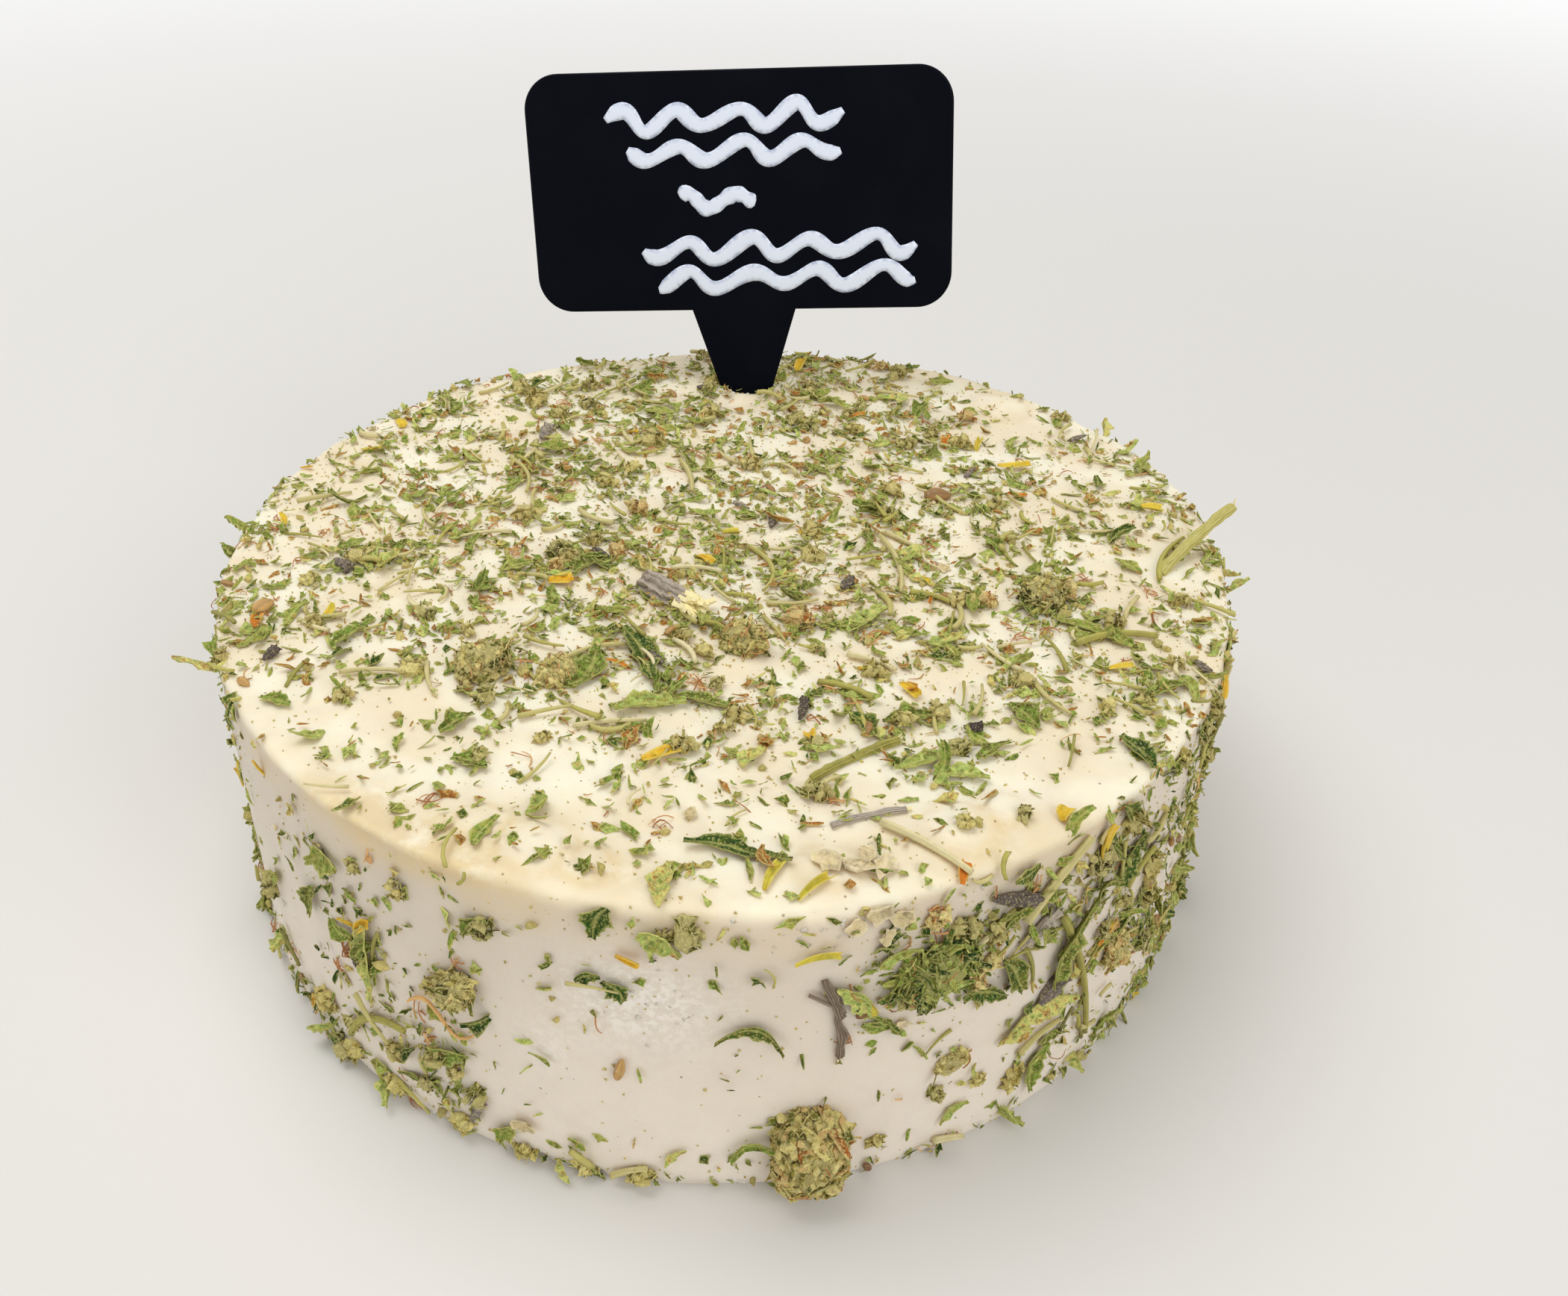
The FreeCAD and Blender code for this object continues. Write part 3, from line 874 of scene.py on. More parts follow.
# Small rough heads: side, X or bearing, Y or height, turn, size, tone.
HEADS_BY_HAND = (
    ("wall", 290.2, 29.6, 40, 0.95, 0.92), ("wall", 295.4, 20.6, 70, 0.85, 0.95),
    ("wall", 288.6, 21.6, 10, 1.2, 0.1), ("wall", 293.6, 27.4, -30, 1.2, 0.2),
    ("wall", 309.4, 27.6, 60, 1.3, 0.0), ("wall", 314.6, 29.4, -20, 1.2, 0.35),
    ("wall", 296.8, 22.4, 20, 0.9, 0.9), ("wall", 321, 20.4, 80, 1.3, 0.5),
    ("wall", 244.0, 18.4, 60, 1.0, 0.45), ("wall", 243.4, 9.4, 30, 1.2, 0.3),
    ("wall", 247.4, 6.4, 80, 1.1, 0.2), ("wall", 226.8, 6.2, -20, 1.2, 0.55),
    ("wall", 250.4, 27.2, 50, 1.1, 0.1), ("wall", 267.0, 30.2, -10, 0.7, 0.3),
    ("wall", 264.2, 1.8, 20, 1.1, 0.6), ("wall", 258.6, 1.4, -30, 0.9, 0.7),
    ("wall", 252.4, 1.6, 10, 1.0, 0.6), ("wall", 245.6, 2.0, 30, 1.1, 0.7),
    ("wall", 237.2, 2.2, -20, 1.0, 0.65), ("wall", 231.0, 2.6, 40, 1.1, 0.6),
    ("wall", 301.6, 6.0, 60, 1.2, 0.6), ("wall", 286.4, 4.6, 10, 0.7, 0.55),
    ("wall", 292.4, 8.4, -50, 0.8, 0.2), ("wall", 297.0, 8.2, 20, 0.7, 0.7),
    ("top", -37, -5, 20, 1.1, 0.4), ("top", -40.5, -8.6, 60, 0.9, 0.75),
    ("top", 22, -8.6, 20, 1.2, 0.5), ("top", 32.6, -6.2, 70, 1.15, 1.0),
    ("top", -27.4, -22.8, 10, 1.1, 0.7), ("top", 13.4, -20.6, 40, 1.1, 0.4),
    ("top", 26.6, -21.6, -20, 1.0, 0.45), ("top", 33.6, -24.8, 60, 0.9, 0.6),
    ("top", 8.2, -31.6, 0, 0.8, 0.3), ("top", 20.2, -31.2, 30, 1.0, 0.2),
    ("top", -14.6, -31.8, 50, 0.7, 0.5), ("top", 24.6, -39.2, 70, 0.7, 0.2),
)

# Bits that stand out: bearing, height, length, width, lean round and up in degrees, and tone.
STANDING = (
    (176.5, 31.5, 3.2, 2.2, 20, 40, 0.5), (180.5, 30.5, 2.8, 2.0, -30, 10, 0.3),
    (206.5, 32.2, 4.6, 1.4, -20, 20, 0.9), (35, 32.4, 2.6, 1.4, 30, 50, 0.86),
    (31, 32.2, 2.0, 1.0, -30, 40, 0.92), (356, 31.6, 3.2, 1.4, 20, 35, 0.82),
    (2, 30.8, 2.6, 1.2, -35, 20, 0.84), (300.5, 1.6, 3.0, 2.0, 25, -5, 0.7),
    (128, 32.6, 2.6, 1.4, 30, 55, 0.7), (121, 32.6, 2.2, 1.0, -30, 60, 0.62),
    (236, 1.6, 2.8, 2.0, 30, -5, 0.72), (226, 2.2, 2.6, 1.8, -30, 5, 0.66),
    (256, 1.0, 2.6, 1.2, 40, -5, 0.8), (312, 2.6, 2.8, 1.8, -30, 0, 0.76),
    (216, 6.0, 2.4, 1.6, 25, 10, 0.78), (332, 12.0, 2.6, 1.8, 30, 15, 0.7),
)

LEAF_TONES = (
    (0.0, srgb(38, 66, 24)), (0.14, srgb(72, 102, 34)), (0.28, srgb(116, 110, 44)),
    (0.42, srgb(118, 154, 58)), (0.56, srgb(168, 158, 76)), (0.7, srgb(158, 188, 96)),
    (0.86, srgb(228, 218, 130)), (1.0, srgb(172, 112, 52)),
)
CRUMB_TONES = (
    (0.0, srgb(92, 92, 32)), (0.4, srgb(148, 138, 62)), (0.7, srgb(190, 174, 96)),
    (0.9, srgb(214, 194, 120)), (1.0, srgb(150, 94, 44)),
)
HEAD_TONES = (
    (0.0, srgb(66, 64, 22)), (0.25, srgb(118, 120, 48)), (0.45, srgb(160, 134, 64)),
    (0.65, srgb(196, 184, 96)), (0.88, srgb(236, 220, 150)), (1.0, srgb(176, 104, 46)),
)
STRAW_TONES = (
    (0.0, srgb(126, 122, 66)), (0.4, srgb(190, 182, 92)), (0.8, srgb(218, 204, 146)),
    (1.0, srgb(236, 224, 176)),
)
BARK_TONES = (
    (0.0, srgb(112, 90, 66)), (0.5, srgb(158, 142, 122)), (0.85, srgb(188, 176, 162)),
    (1.0, srgb(252, 240, 186)),
)
HAIR_TONES = ((0.0, srgb(158, 98, 58)), (0.5, srgb(196, 138, 84)), (1.0, srgb(230, 184, 118)))
PETAL_TONES = (
    (0.0, srgb(226, 168, 30)), (0.4, srgb(236, 200, 62)), (0.75, srgb(204, 196, 76)),
    (1.0, srgb(214, 128, 44)),
)
CUP_TONES = ((0.0, srgb(78, 66, 64)), (0.5, srgb(120, 108, 102)), (1.0, srgb(184, 172, 158)))
SEED_TONES = ((0.0, srgb(132, 90, 52)), (1.0, srgb(208, 164, 96)))
SCALE_TONES = ((0.0, srgb(236, 218, 180)), (1.0, srgb(202, 184, 134)))


# ---------------------------------------------------------------- the wheel


def mesh_points(node):
    """A CAD node's points, as an array in metres."""
    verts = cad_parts[node].data.vertices
    points = np.empty(len(verts) * 3)
    verts.foreach_get("co", points)
    return points.reshape(-1, 3)


def main_axes(points):
    """Middle of a cloud of points and its long, middle and short directions."""
    middle = points.mean(0)
    _, _, axes = np.linalg.svd(points - middle, full_matrices=False)
    return Vector(middle), [Vector(a) for a in axes]


class LabelFrame:
    """Where the label stands: its directions, its plate's middle and where its spike goes in."""

    def __init__(self):
        points = mesh_points("tag")
        middle, (wide, tall, _) = main_axes(points)
        self.across = wide if wide.x > 0 else -wide
        self.up = tall if tall.z > 0 else -tall
        self.out = self.across.cross(self.up).normalized()
        u, v, w = ((points - np.array(middle)) @ np.array(axis)
                   for axis in (self.across, self.up, self.out))
        side = (u.max() + u.min()) / 2
        plate = v[u > u.max() * 0.9]
        self.face = w.max()
        self.middle = middle + self.across * side + self.up * (v.max() + plate.min()) / 2
        tip = middle + self.across * side + self.up * v.min()
        self.entry = tip + self.up * ((HEIGHT - tip.z) / self.up.z)

    def at(self, right_mm, up_mm, front_mm):
        """A place on the plate's front, from its middle."""
        return self.middle + self.across * right_mm * MM + self.up * up_mm * MM + self.out * (
            self.face + front_mm * MM)


def wheel_section(step):
    """Half of the wheel's section, from the middle of the top round to the middle of the base."""
    rim, foot = RIM_ROUNDING, FOOT_ROUNDING
    inner = RADIUS - rim
    points = [(inner * i / round(inner / step), HEIGHT) for i in range(round(inner / step) + 1)]
    for i in range(1, ARC_STEPS + 1):
        angle = math.pi / 2 * (1 - i / ARC_STEPS)
        points.append((inner + rim * math.cos(angle), HEIGHT - rim + rim * math.sin(angle)))
    wall = HEIGHT - rim - foot
    rings = round(wall / step)
    points += [(RADIUS, HEIGHT - rim - wall * i / rings) for i in range(1, rings + 1)]
    for i in range(1, ARC_STEPS + 1):
        angle = -math.pi / 2 * i / ARC_STEPS
        points.append((RADIUS - foot + foot * math.cos(angle), foot + foot * math.sin(angle)))
    rings = round((RADIUS - foot) / (3 * step))
    points += [((RADIUS - foot) * (1 - i / rings), 0.0) for i in range(1, rings + 1)]
    return points


def polar_mm(co):
    """Bearing in degrees, radius and height in mm of a place in metres."""
    return math.degrees(math.atan2(co.y, co.x)) % 360, co.xy.length / MM, co.z / MM


def bell(value, middle, reach):
    return math.exp(-(((value - middle) / reach) ** 2))


def patch(bearing, height, at, around, up, tall):
    """How far a place belongs to a patch of the wall that is given by bearing, height and reaches."""
    return bell(bearing, at, around) * bell(height, up, tall)


# Patches of the wall: bearing and reach in degrees, height and reach in mm.
SMEAR = (279, 9, 30.4, 2.6)
PEEL = (262, 7, 31.2, 1.8)
# The same with a share.
SCUFFS = ((264, 6.5, 21.5, 4.6, 1.3), (255, 3, 15, 3, 0.6))
CRISP_RIM = (243, 14)
LIP = (0.2, 0.4)  # height of the lip along the rim in mm, and what is added where it is crisp
COLLAR = (0.75, 3.6, 1.3)  # paste pushed up round the label: height, distance and reach in mm
SMOOTH_FOOT = 0.4  # height in mm below which the paste stays smooth
# Low smeared lobes by the rim: X, Y, reach and rise in mm.
LOBES = (
    (-13.1, -44.6, 2.9, 0.7), (-17.8, -42.4, 2.2, 0.5), (-9.0, -46.4, 2.0, 0.5),
    (19.4, -41.0, 2.8, 0.6), (23.0, -38.6, 2.0, 0.5), (9.2, -46.0, 2.4, 0.5), (30, 35, 3.4, 0.5),
    (-42, 18, 3.0, 0.5), (44, 8, 2.8, 0.5),
)
# Oily places along the rim: bearing, reach in degrees, height, reach in mm, radius and share.
OILY_RIM = (
    (241, 8, 31.0, 1.5, 50, 1.0), (236, 8, 32.3, 1.2, 49.8, 1.0), (246, 6, 32.2, 1.1, 49.8, 1.0),
    (252, 4, 31.6, 1.0, 50, 0.7), (262, 4, 33.0, 1.0, 47.5, 0.8),
    (270, 4, 31.4, 1.2, 49.5, 0.5), (300, 9, 32.2, 1.0, 49, 0.4), (350, 14, 31.5, 1.2, 50, 0.5),
    (60, 16, 31.5, 1.2, 50, 0.6), (128, 14, 31.5, 1.3, 50, 0.7), (190, 12, 31.4, 1.2, 50, 0.5),
)
OUTER_PART = 44  # radius in mm inside which the wall's marks stop
SMEAR_PART = 46
OILY_PART = 40


def relief(co, slope, look, entry):
    """How far the paste stands out of or sinks into its smooth form; slope is its normal's Z."""
    bearing, radius, height = polar_mm(co)
    if height < SMOOTH_FOOT:
        return 0.0
    full = HEIGHT / MM
    rise = look.wave * ripple(co, 17)
    rise += look.dimple * ripple(co, 4.2)
    if height > full - 3:
        crisp = max(0.5 + 0.5 * noise.noise(Vector((bearing / 14, 0, 7))), bell(bearing, *CRISP_RIM))
        rise += (LIP[0] + LIP[1] * crisp) * MM * bell(slope, 0.7, 0.24)
    near_rim = bell(height, full, 2.6) * bell(radius, RADIUS / MM, 3.2)
    rise += 0.35 * MM * near_rim * noise.noise(co / (6 * MM) + Vector((9, 2, 5)))
    smear = patch(bearing, height, *SMEAR) * (radius > SMEAR_PART)
    rise += smear * MM * (0.45 + 0.5 * ripple(co, 2.6))
    peel = patch(bearing, height, *PEEL) * (radius > OUTER_PART)
    rise -= peel * MM * (0.3 + 0.35 * ripple(co, 3.0))
    rise += scuff_amount(co) * 0.09 * MM * ripple(co, 1.3)
    if height > full - 2.5:
        for x, y, reach, tall in LOBES:
            away = math.hypot(co.x / MM - x, co.y / MM - y) / reach
            if away < 2:
                away += 0.3 * ripple(co, 1.8)
                rise += tall * MM / (1 + math.exp(9 * (away - 1)))
        away = Vector((co.x - entry.x, (co.y - entry.y) * 1.6)).length / MM
        tall, middle, reach = COLLAR
        rise += tall * MM * bell(away, middle, reach) * (1 + 0.4 * ripple(co, 1.5))
    return rise


def scuff_amount(co):
    """How scuffed and dry the paste is at one place, from 0 to 1."""
    bearing, radius, height = polar_mm(co)
    if radius < OUTER_PART:
        return 0.0
    return min(1.0, sum(share * patch(bearing, height, *where) for *where, share in SCUFFS))


def oil_amount(co):
    """How yellow and oily the paste is along the rim at one place, from 0 to 1."""
    bearing, radius, height = polar_mm(co)
    if radius < OILY_PART:
        return 0.0
    amount = sum(share * patch(bearing, height, *where) * bell(radius, off, 3.5)
                 for *where, off, share in OILY_RIM)
    if height > 31.5:
        amount += 0.55 * sum(bell(math.hypot(co.x / MM - x, co.y / MM - y) / reach, 1.05, 0.22)
                             for x, y, reach, _ in LOBES)
    return min(1.0, amount)


class CHEESE_OT_wheel(bpy.types.Operator):
    """Builds the paste of the cheese over its CAD node, with its waves, smears and scuffs"""

    bl_idname = "cheese.wheel"
    bl_label = "Paste wheel"

    def execute(self, context):
        look = context.scene.cheese_paste
        bm = bmesh.new()
        verts = [bm.verts.new((r, 0, z)) for r, z in wheel_section(look.ring_step)]
        edges = [bm.edges.new(pair) for pair in zip(verts, verts[1:])]
        bmesh.ops.spin(
            bm, geom=verts + edges, cent=(0, 0, 0), axis=(0, 0, 1), dvec=(0, 0, 0),
            angle=FULL_TURN, steps=look.turns, use_merge=True, use_duplicate=False,
        )
        bmesh.ops.remove_doubles(bm, verts=bm.verts[:], dist=1e-6)
        bmesh.ops.recalc_face_normals(bm, faces=bm.faces[:])
        form = BVHTree.FromObject(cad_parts["cheese"], context.evaluated_depsgraph_get())
        for vert in bm.verts:
            vert.co = form.find_nearest(vert.co)[0]
        bm.normal_update()
        entry = LabelFrame().entry
        moves = [v.normal * relief(v.co, v.normal.z, look, entry) for v in bm.verts]
        scuff = bm.verts.layers.float.new("scuff")
        oil = bm.verts.layers.float.new("oil")
        for vert, move in zip(bm.verts, moves):
            vert.co += move
            vert.co.z = max(0.0, vert.co.z)
            vert[scuff] = scuff_amount(vert.co)
            vert[oil] = oil_amount(vert.co)
        mesh = finished_mesh(WHEEL, bm)
        mesh.shade_smooth()
        piece = show(WHEEL, mesh, paste_material(look), "paste")
        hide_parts("cheese")
        context.view_layer.update()
        return {"FINISHED"}


# ---------------------------------------------------------------- the herb coat


# Different shapes that each kind of herb is drawn from.
KINDS = {"flake": 30, "shred": 28, "leaf": 18, "grain": 12, "tuft": 9, "stalk": 14}
HAND_LIFT = 0.25  # how high above the paste the pieces laid one by one are, in mm
HAND_ROLL = 0.2  # and how far they lean at most, in radians
# Herbs on the top are drawn a little paler as painted light, those on the wall darker as painted shade.
TOP_PAINTED_LIGHT = 0.08
WALL_PAINTED_SHADE = -0.1
THREADS_PER_BUNDLE = (1, 1, 1, 2, 3, 5)


def put_by_hand(drift, ground, rows, make, rng, sink=0.0):
    """Lays the pieces of a given list; make gives each one's shape from its length and width."""
    for side, first, second, turn, length, width, tone, *rest in rows:
        spot, normal, pose = ground.by_hand(side, first, second, turn)
        pose = pose @ Quaternion((1, 0, 0), rng.uniform(-HAND_ROLL, HAND_ROLL))
        lift = (HAND_LIFT - sink) * MM
        drift.add(make(length, width, *rest), pose, spot + normal * lift, 1.0, tone)


def strew(places, shapes, rng, size, tilt, tone, lift):
    """Drops one random shape at each place, within the given ranges of size, tilt, tone and lift."""
    drift = Drift()
    for spot, normal in places:
        pose = lying(normal, rng.uniform(0, FULL_TURN), rng.uniform(0, tilt), rng.uniform(0, ANY_SPIN))
        up = rng.uniform(*lift) * MM
        # Painted light and shade: the random tone is raised on the top and lowered on the wall.
        shade = tone(rng) + (TOP_PAINTED_LIGHT if normal.z > FACING_UP else WALL_PAINTED_SHADE)
        drift.add(rng.choice(shapes), pose, spot + normal * up, rng.triangular(*size), shade)
    return drift


def tones(low, high, odd=0.0, odd_tone=1.0):
    """A draw of tones between two values, with a share of odd ones."""
    return lambda rng: odd_tone if rng.random() < odd else rng.triangular(low, high, (low + high) / 2)


class CHEESE_OT_leaves(bpy.types.Operator):
    """Lays the leaf flakes and the larger curled leaves"""

    bl_idname = "cheese.leaves"
    bl_label = "Leaves"

    def execute(self, context):
        herbs = context.scene.cheese_herbs
        rng = random.Random(herbs.seed)
        ground = Ground()
        green = dried_material("dried_leaf", LEAF_TONES, 0.6, srgb(210, 206, 124), frost=0.36)
        flakes = [flake_shape(rng, rng.choice((7, 8, 9))) for _ in range(KINDS["flake"])]
        drift = strew(ground.scatter(rng, herbs.flakes), flakes, rng,
                      (0.3, 1.75, 0.6), 0.9, tones(-0.05, 1.0, 0.08), (0.05, 0.4))
        drift.build("leaf_flakes", green, "leaf")
        shreds = [shred_shape(rng) for _ in range(KINDS["shred"])]
        drift = strew(ground.scatter(rng, herbs.shreds), shreds, rng,
                      (0.18, 0.82, 0.33), 0.8, tones(-0.05, 1.0, 0.12), (0.05, 0.5))
        drift.build("leaf_shreds", green, "leaf")
        leaves = []
        for _ in range(KINDS["leaf"]):
            length = rng.uniform(2.0, 4.2)
            leaves.append(leaf_shape(
                rng, length, length * rng.uniform(0.3, 0.5), 6, 0.45, rng.uniform(-0.5, 0.9),
                rng.uniform(-0.2, 0.9)))
        drift = strew(ground.scatter(rng, herbs.leaves, 1.5), leaves, rng,
                      (0.6, 1.15, 0.8), 0.7, tones(0.0, 0.85, 0.05), (0.15, 0.6))
        put_by_hand(drift, ground, LEAVES_BY_HAND,
                    lambda length, width: leaf_shape(rng, length, width, 12, 0.3, 0.25, 0.55), rng)
        self.add_bowed_leaf(drift, ground, rng)
        self.add_standing(drift, ground, rng)
        drift.build("curled_leaves", green, "leaf")
        return {"FINISHED"}

    @staticmethod
    def add_bowed_leaf(drift, ground, rng):
        """The narrow leaf that bows over the bare middle of the wall."""
        leaf = leaf_shape(rng, 5.6, 1.4, 14, 0.25, 0.3, 0.5)
        leaf.points[:, 1] -= 0.16 * leaf.points[:, 0] ** 2
        spot, normal, pose = ground.by_hand(*BOWED_LEAF)
        drift.add(leaf, pose, spot + normal * 0.3 * MM, 1.0, 0.18)

    @staticmethod
    def add_standing(drift, ground, rng):
        """The bits that stand out from the wall and the rim."""
        for bearing, height, length, width, around, up, tone in STANDING:
            spot, normal = ground.wall(bearing, height)
            out = Quaternion(UP, math.radians(around)) @ Vector((normal.x, normal.y, 0)).normalized()
            out = (out + UP * math.tan(math.radians(up))).normalized()
            pose = along(out.orthogonal().normalized(), out)
            shape = leaf_shape(rng, length, width, 8, 0.5, 0.2, 0.8)
            drift.add(shape, pose, spot + out * length * 0.38 * MM, 1.0, tone)


class CHEESE_OT_crumbs(bpy.types.Operator):
    """Lays the coarse crumbs, the small rough flower heads and the finest specks"""

    bl_idname = "cheese.crumbs"
    bl_label = "Crumbs"

    def execute(self, context):
        herbs = context.scene.cheese_herbs
        rng = random.Random(herbs.seed + 1)
        ground = Ground()
        grains = [crumb_shape(rng, 1, 0.95) for _ in range(KINDS["grain"])]
        flakes = [flake_shape(rng, 6) for _ in range(8)]
        olive = dried_material("olive_crumb", CRUMB_TONES, 0.6, srgb(216, 200, 130), frost=0.4)
        drift = strew(ground.scatter(rng, herbs.crumbs), grains, rng,
                      (0.3, 1.2, 0.5), 1.5, tones(0.0, 0.95, 0.08), (0.0, 0.3))
        drift.build("olive_crumbs", olive, "bud")
        head = dried_material("flower_head", HEAD_TONES, 0.6, srgb(232, 218, 150), frost=0.55, dip_shade=0.7)
        shreds = [shred_shape(rng) for _ in range(8)]
        tufts = [tuft_shape(rng, grains, flakes, shreds) for _ in range(KINDS["tuft"])]
        drift = strew(ground.scatter(rng, herbs.tufts, 1.6), tufts, rng,
                      (0.6, 1.35, 0.85), 0.4, tones(-0.1, 0.7, 0.1, 0.95), (0.1, 0.5))
        for side, first, second, turn, size, tone in HEADS_BY_HAND:
            spot, normal, pose = ground.by_hand(side, first, second, turn)
            drift.add(rng.choice(tufts), pose, spot + normal * 0.2 * MM, size, tone)
        drift.build("small_heads", head, "bud")
        drift = strew(ground.scatter(rng, herbs.dust, 0.7), [speck_shape()], rng,
                      (0.1, 0.42, 0.18), 3.1, tones(0.2, 1.1, 0.2), (-0.04, 0.02))
        drift.build("herb_dust", olive, "leaf")
        return {"FINISHED"}


TUFT_SIZE = (2.8, 1.8)  # length and width in mm
TUFT_BITS = 24


def tuft_shape(rng, grains, flakes, shreds):
    """A small rough flower head: grains, scales and slivers over a lump."""
    length, width = TUFT_SIZE
    pieces = []
    for i in range(TUFT_BITS):
        out = Vector((rng.gauss(0, 1), rng.gauss(0, 1), abs(rng.gauss(0, 1)))).normalized()
        shape = rng.choice((grains, flakes, shreds)[i % 3])
        turn = lying(out, rng.uniform(0, ANY_SPIN), rng.uniform(0.2, 1.2), rng.uniform(0, ANY_SPIN))
        size = rng.uniform(0.5, 1.1) * (0.6 if i % 3 == 2 else 1.0)
        place = (out.x * length * 0.36, out.y * width * 0.36, out.z * width * 0.3)
        pieces.append((shape, np.array(turn.to_matrix()) * size, place))
    return merged(pieces)


# How each bud looks: grain size in mm, lowest and highest tone, share of leafy scales.
# One with more scales than grains is green, as a sprig is.
BUD_LOOKS = {
    "foot_bud": (0.9, 0.15, 1.15, 0.35), "top_bud_1": (0.7, -0.1, 0.95, 0.3),
    "top_bud_2": (0.65, 0.1, 0.95, 0.3), "top_bud_3": (0.55, 0.35, 0.95, 0.2),
    "top_bud_4": (0.75, -0.1, 0.8, 0.45), "wall_bud_1": (0.65, -0.1, 0.85, 0.35),
    "wall_bud_2": (0.72, -0.2, 0.8, 0.8), "wall_bud_3": (0.5, 0.35, 0.95, 0.2),
    "wall_bud_4": (0.7, 0.5, 1.1, 0.35),
}


# Buds that are boxy: how far they fill their corners, and their size.
BOXY_BUDS = {"foot_bud": (0.75, 0.93)}
CORE_SHADE_TINT = -0.3  # painted shade: the inside of a bud, seen between its grains, is tinted darkest
CORE_SIZE = 0.78
GRAIN_LAYERS = 3.0  # grains for each square of their own size
SCALE_GROWTH = 1.4  # how much longer than a grain a scale is
THREAD_SHARE = 0.035


def squared(away, reach, node):
    """Moves places out towards the corners of a boxy bud; both are measured from its middle."""
    fill, size = BOXY_BUDS.get(node, (0.0, 1.0))
    local = away / reach
    corner = np.linalg.norm(local, axis=1) / ((local**4).sum(1) ** 0.25 + 1e-9)
    return away * (size * (1 + fill * (corner - 1)))[:, None]


class CHEESE_OT_buds(bpy.types.Operator):
    """Clothes each large bud's CAD node in grains, scales and threads, and takes its place"""

    bl_idname = "cheese.buds"
    bl_label = "Buds"

    def execute(self, context):
        herbs = context.scene.cheese_herbs
        rng = random.Random(herbs.seed + 2)
        grains = [crumb_shape(rng, 1, 0.7) for _ in range(KINDS["grain"])]
        flakes = [flake_shape(rng, 8) for _ in range(8)] + [shred_shape(rng) for _ in range(6)]
        head = bpy.data.materials["flower_head"]
        leafy_head = bpy.data.materials["dried_leaf"]
        threads = Drift()
        for node, (grain, low, high, leafy) in BUD_LOOKS.items():
            drift = Drift()
            points = mesh_points(node)
            middle, _ = main_axes(points)
            reach = np.abs(points - np.array(middle)).max(0)
            core = core_shape(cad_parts[node], middle)
            core.points = squared(core.points, reach / MM, node)
            # Painted shade: the core is tinted darkest so the gaps between grains read dark.
            drift.add(core, Quaternion(), middle, CORE_SIZE, CORE_SHADE_TINT)
            for spot, normal in surface_draws(node, middle, rng, GRAIN_LAYERS / (grain * MM) ** 2):
                spot = middle + Vector(squared(np.array([spot - middle]), reach, node)[0])
                scale = rng.random() < leafy
                shape = rng.choice(flakes if scale else grains)
                tilt = rng.uniform(0.2 if scale else 0, 1.0)
                pose = lying(normal, rng.uniform(0, ANY_SPIN), tilt, rng.uniform(0, ANY_SPIN))
                size = grain * rng.uniform(0.45, 1.3) * (SCALE_GROWTH if scale else 1.0)
                lump = 0.35 * ripple(spot, 1.5)
                sunk = spot - normal * (rng.uniform(0.45, 1.05) - lump) * grain * MM
                drift.add(shape, pose, sunk, size, rng.uniform(low, high))
                if rng.random() < THREAD_SHARE:
                    add_thread(threads, rng, sunk, normal, rng.uniform(0.8, 2.0))
            piece = drift.build(node + "_head", leafy_head if leafy > 0.5 else head, "bud")
            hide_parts(node)
        rust = ribbed_material("rust_thread", HAIR_TONES, 0.3)
        threads.build("bud_threads", rust, "bud")
        return {"FINISHED"}


def core_shape(node, middle):
    """A node's own form, in millimetres about its middle."""
    bm = bmesh.new()
    bm.from_mesh(node.data)
    bmesh.ops.remove_doubles(bm, verts=bm.verts[:], dist=1e-6)
    bmesh.ops.transform(bm, matrix=Matrix.Translation(-middle), verts=bm.verts[:])
    bmesh.ops.scale(bm, vec=(1 / MM,) * 3, verts=bm.verts[:])
    return take_shape(bm)


def surface_draws(node, middle, rng, per_square_metre):
    """Random places all over a node's surface, with the outward direction of its faces."""
    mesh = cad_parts[node].data
    faces = [(p.normal.copy(), [mesh.vertices[v].co.copy() for v in p.vertices]) for p in mesh.polygons]
    areas = [p.area for p in mesh.polygons]
    for normal, corners in rng.choices(faces, areas, k=round(sum(areas) * per_square_metre)):
        weights = [rng.random() + 1e-6 for _ in corners]
        spot = sum((c * w for c, w in zip(corners, weights)), Vector()) / sum(weights)
        yield spot, normal if normal.dot(spot - middle) > 0 else -normal


def add_thread(drift, rng, spot, normal, length):
    """A curly rust-coloured thread that starts at a place."""
    bow = rng.uniform(-0.35, 0.35) * length
    rise = rng.uniform(0.0, 0.3) * length
    wave = rng.uniform(0.5, 1.4) * math.pi

    def path(t):
        return bow * math.sin(wave * t), rise * (1 - (2 * t - 1) ** 2)

    shape = rod_shape(length, rng.uniform(0.12, 0.22), 3, 4, 0.6, path)
    pose = lying(normal, rng.uniform(0, ANY_SPIN), rng.uniform(0, 0.5), rng.uniform(0, ANY_SPIN))
    drift.add(shape, pose, spot + normal * 0.12 * MM, 1.0, rng.random())


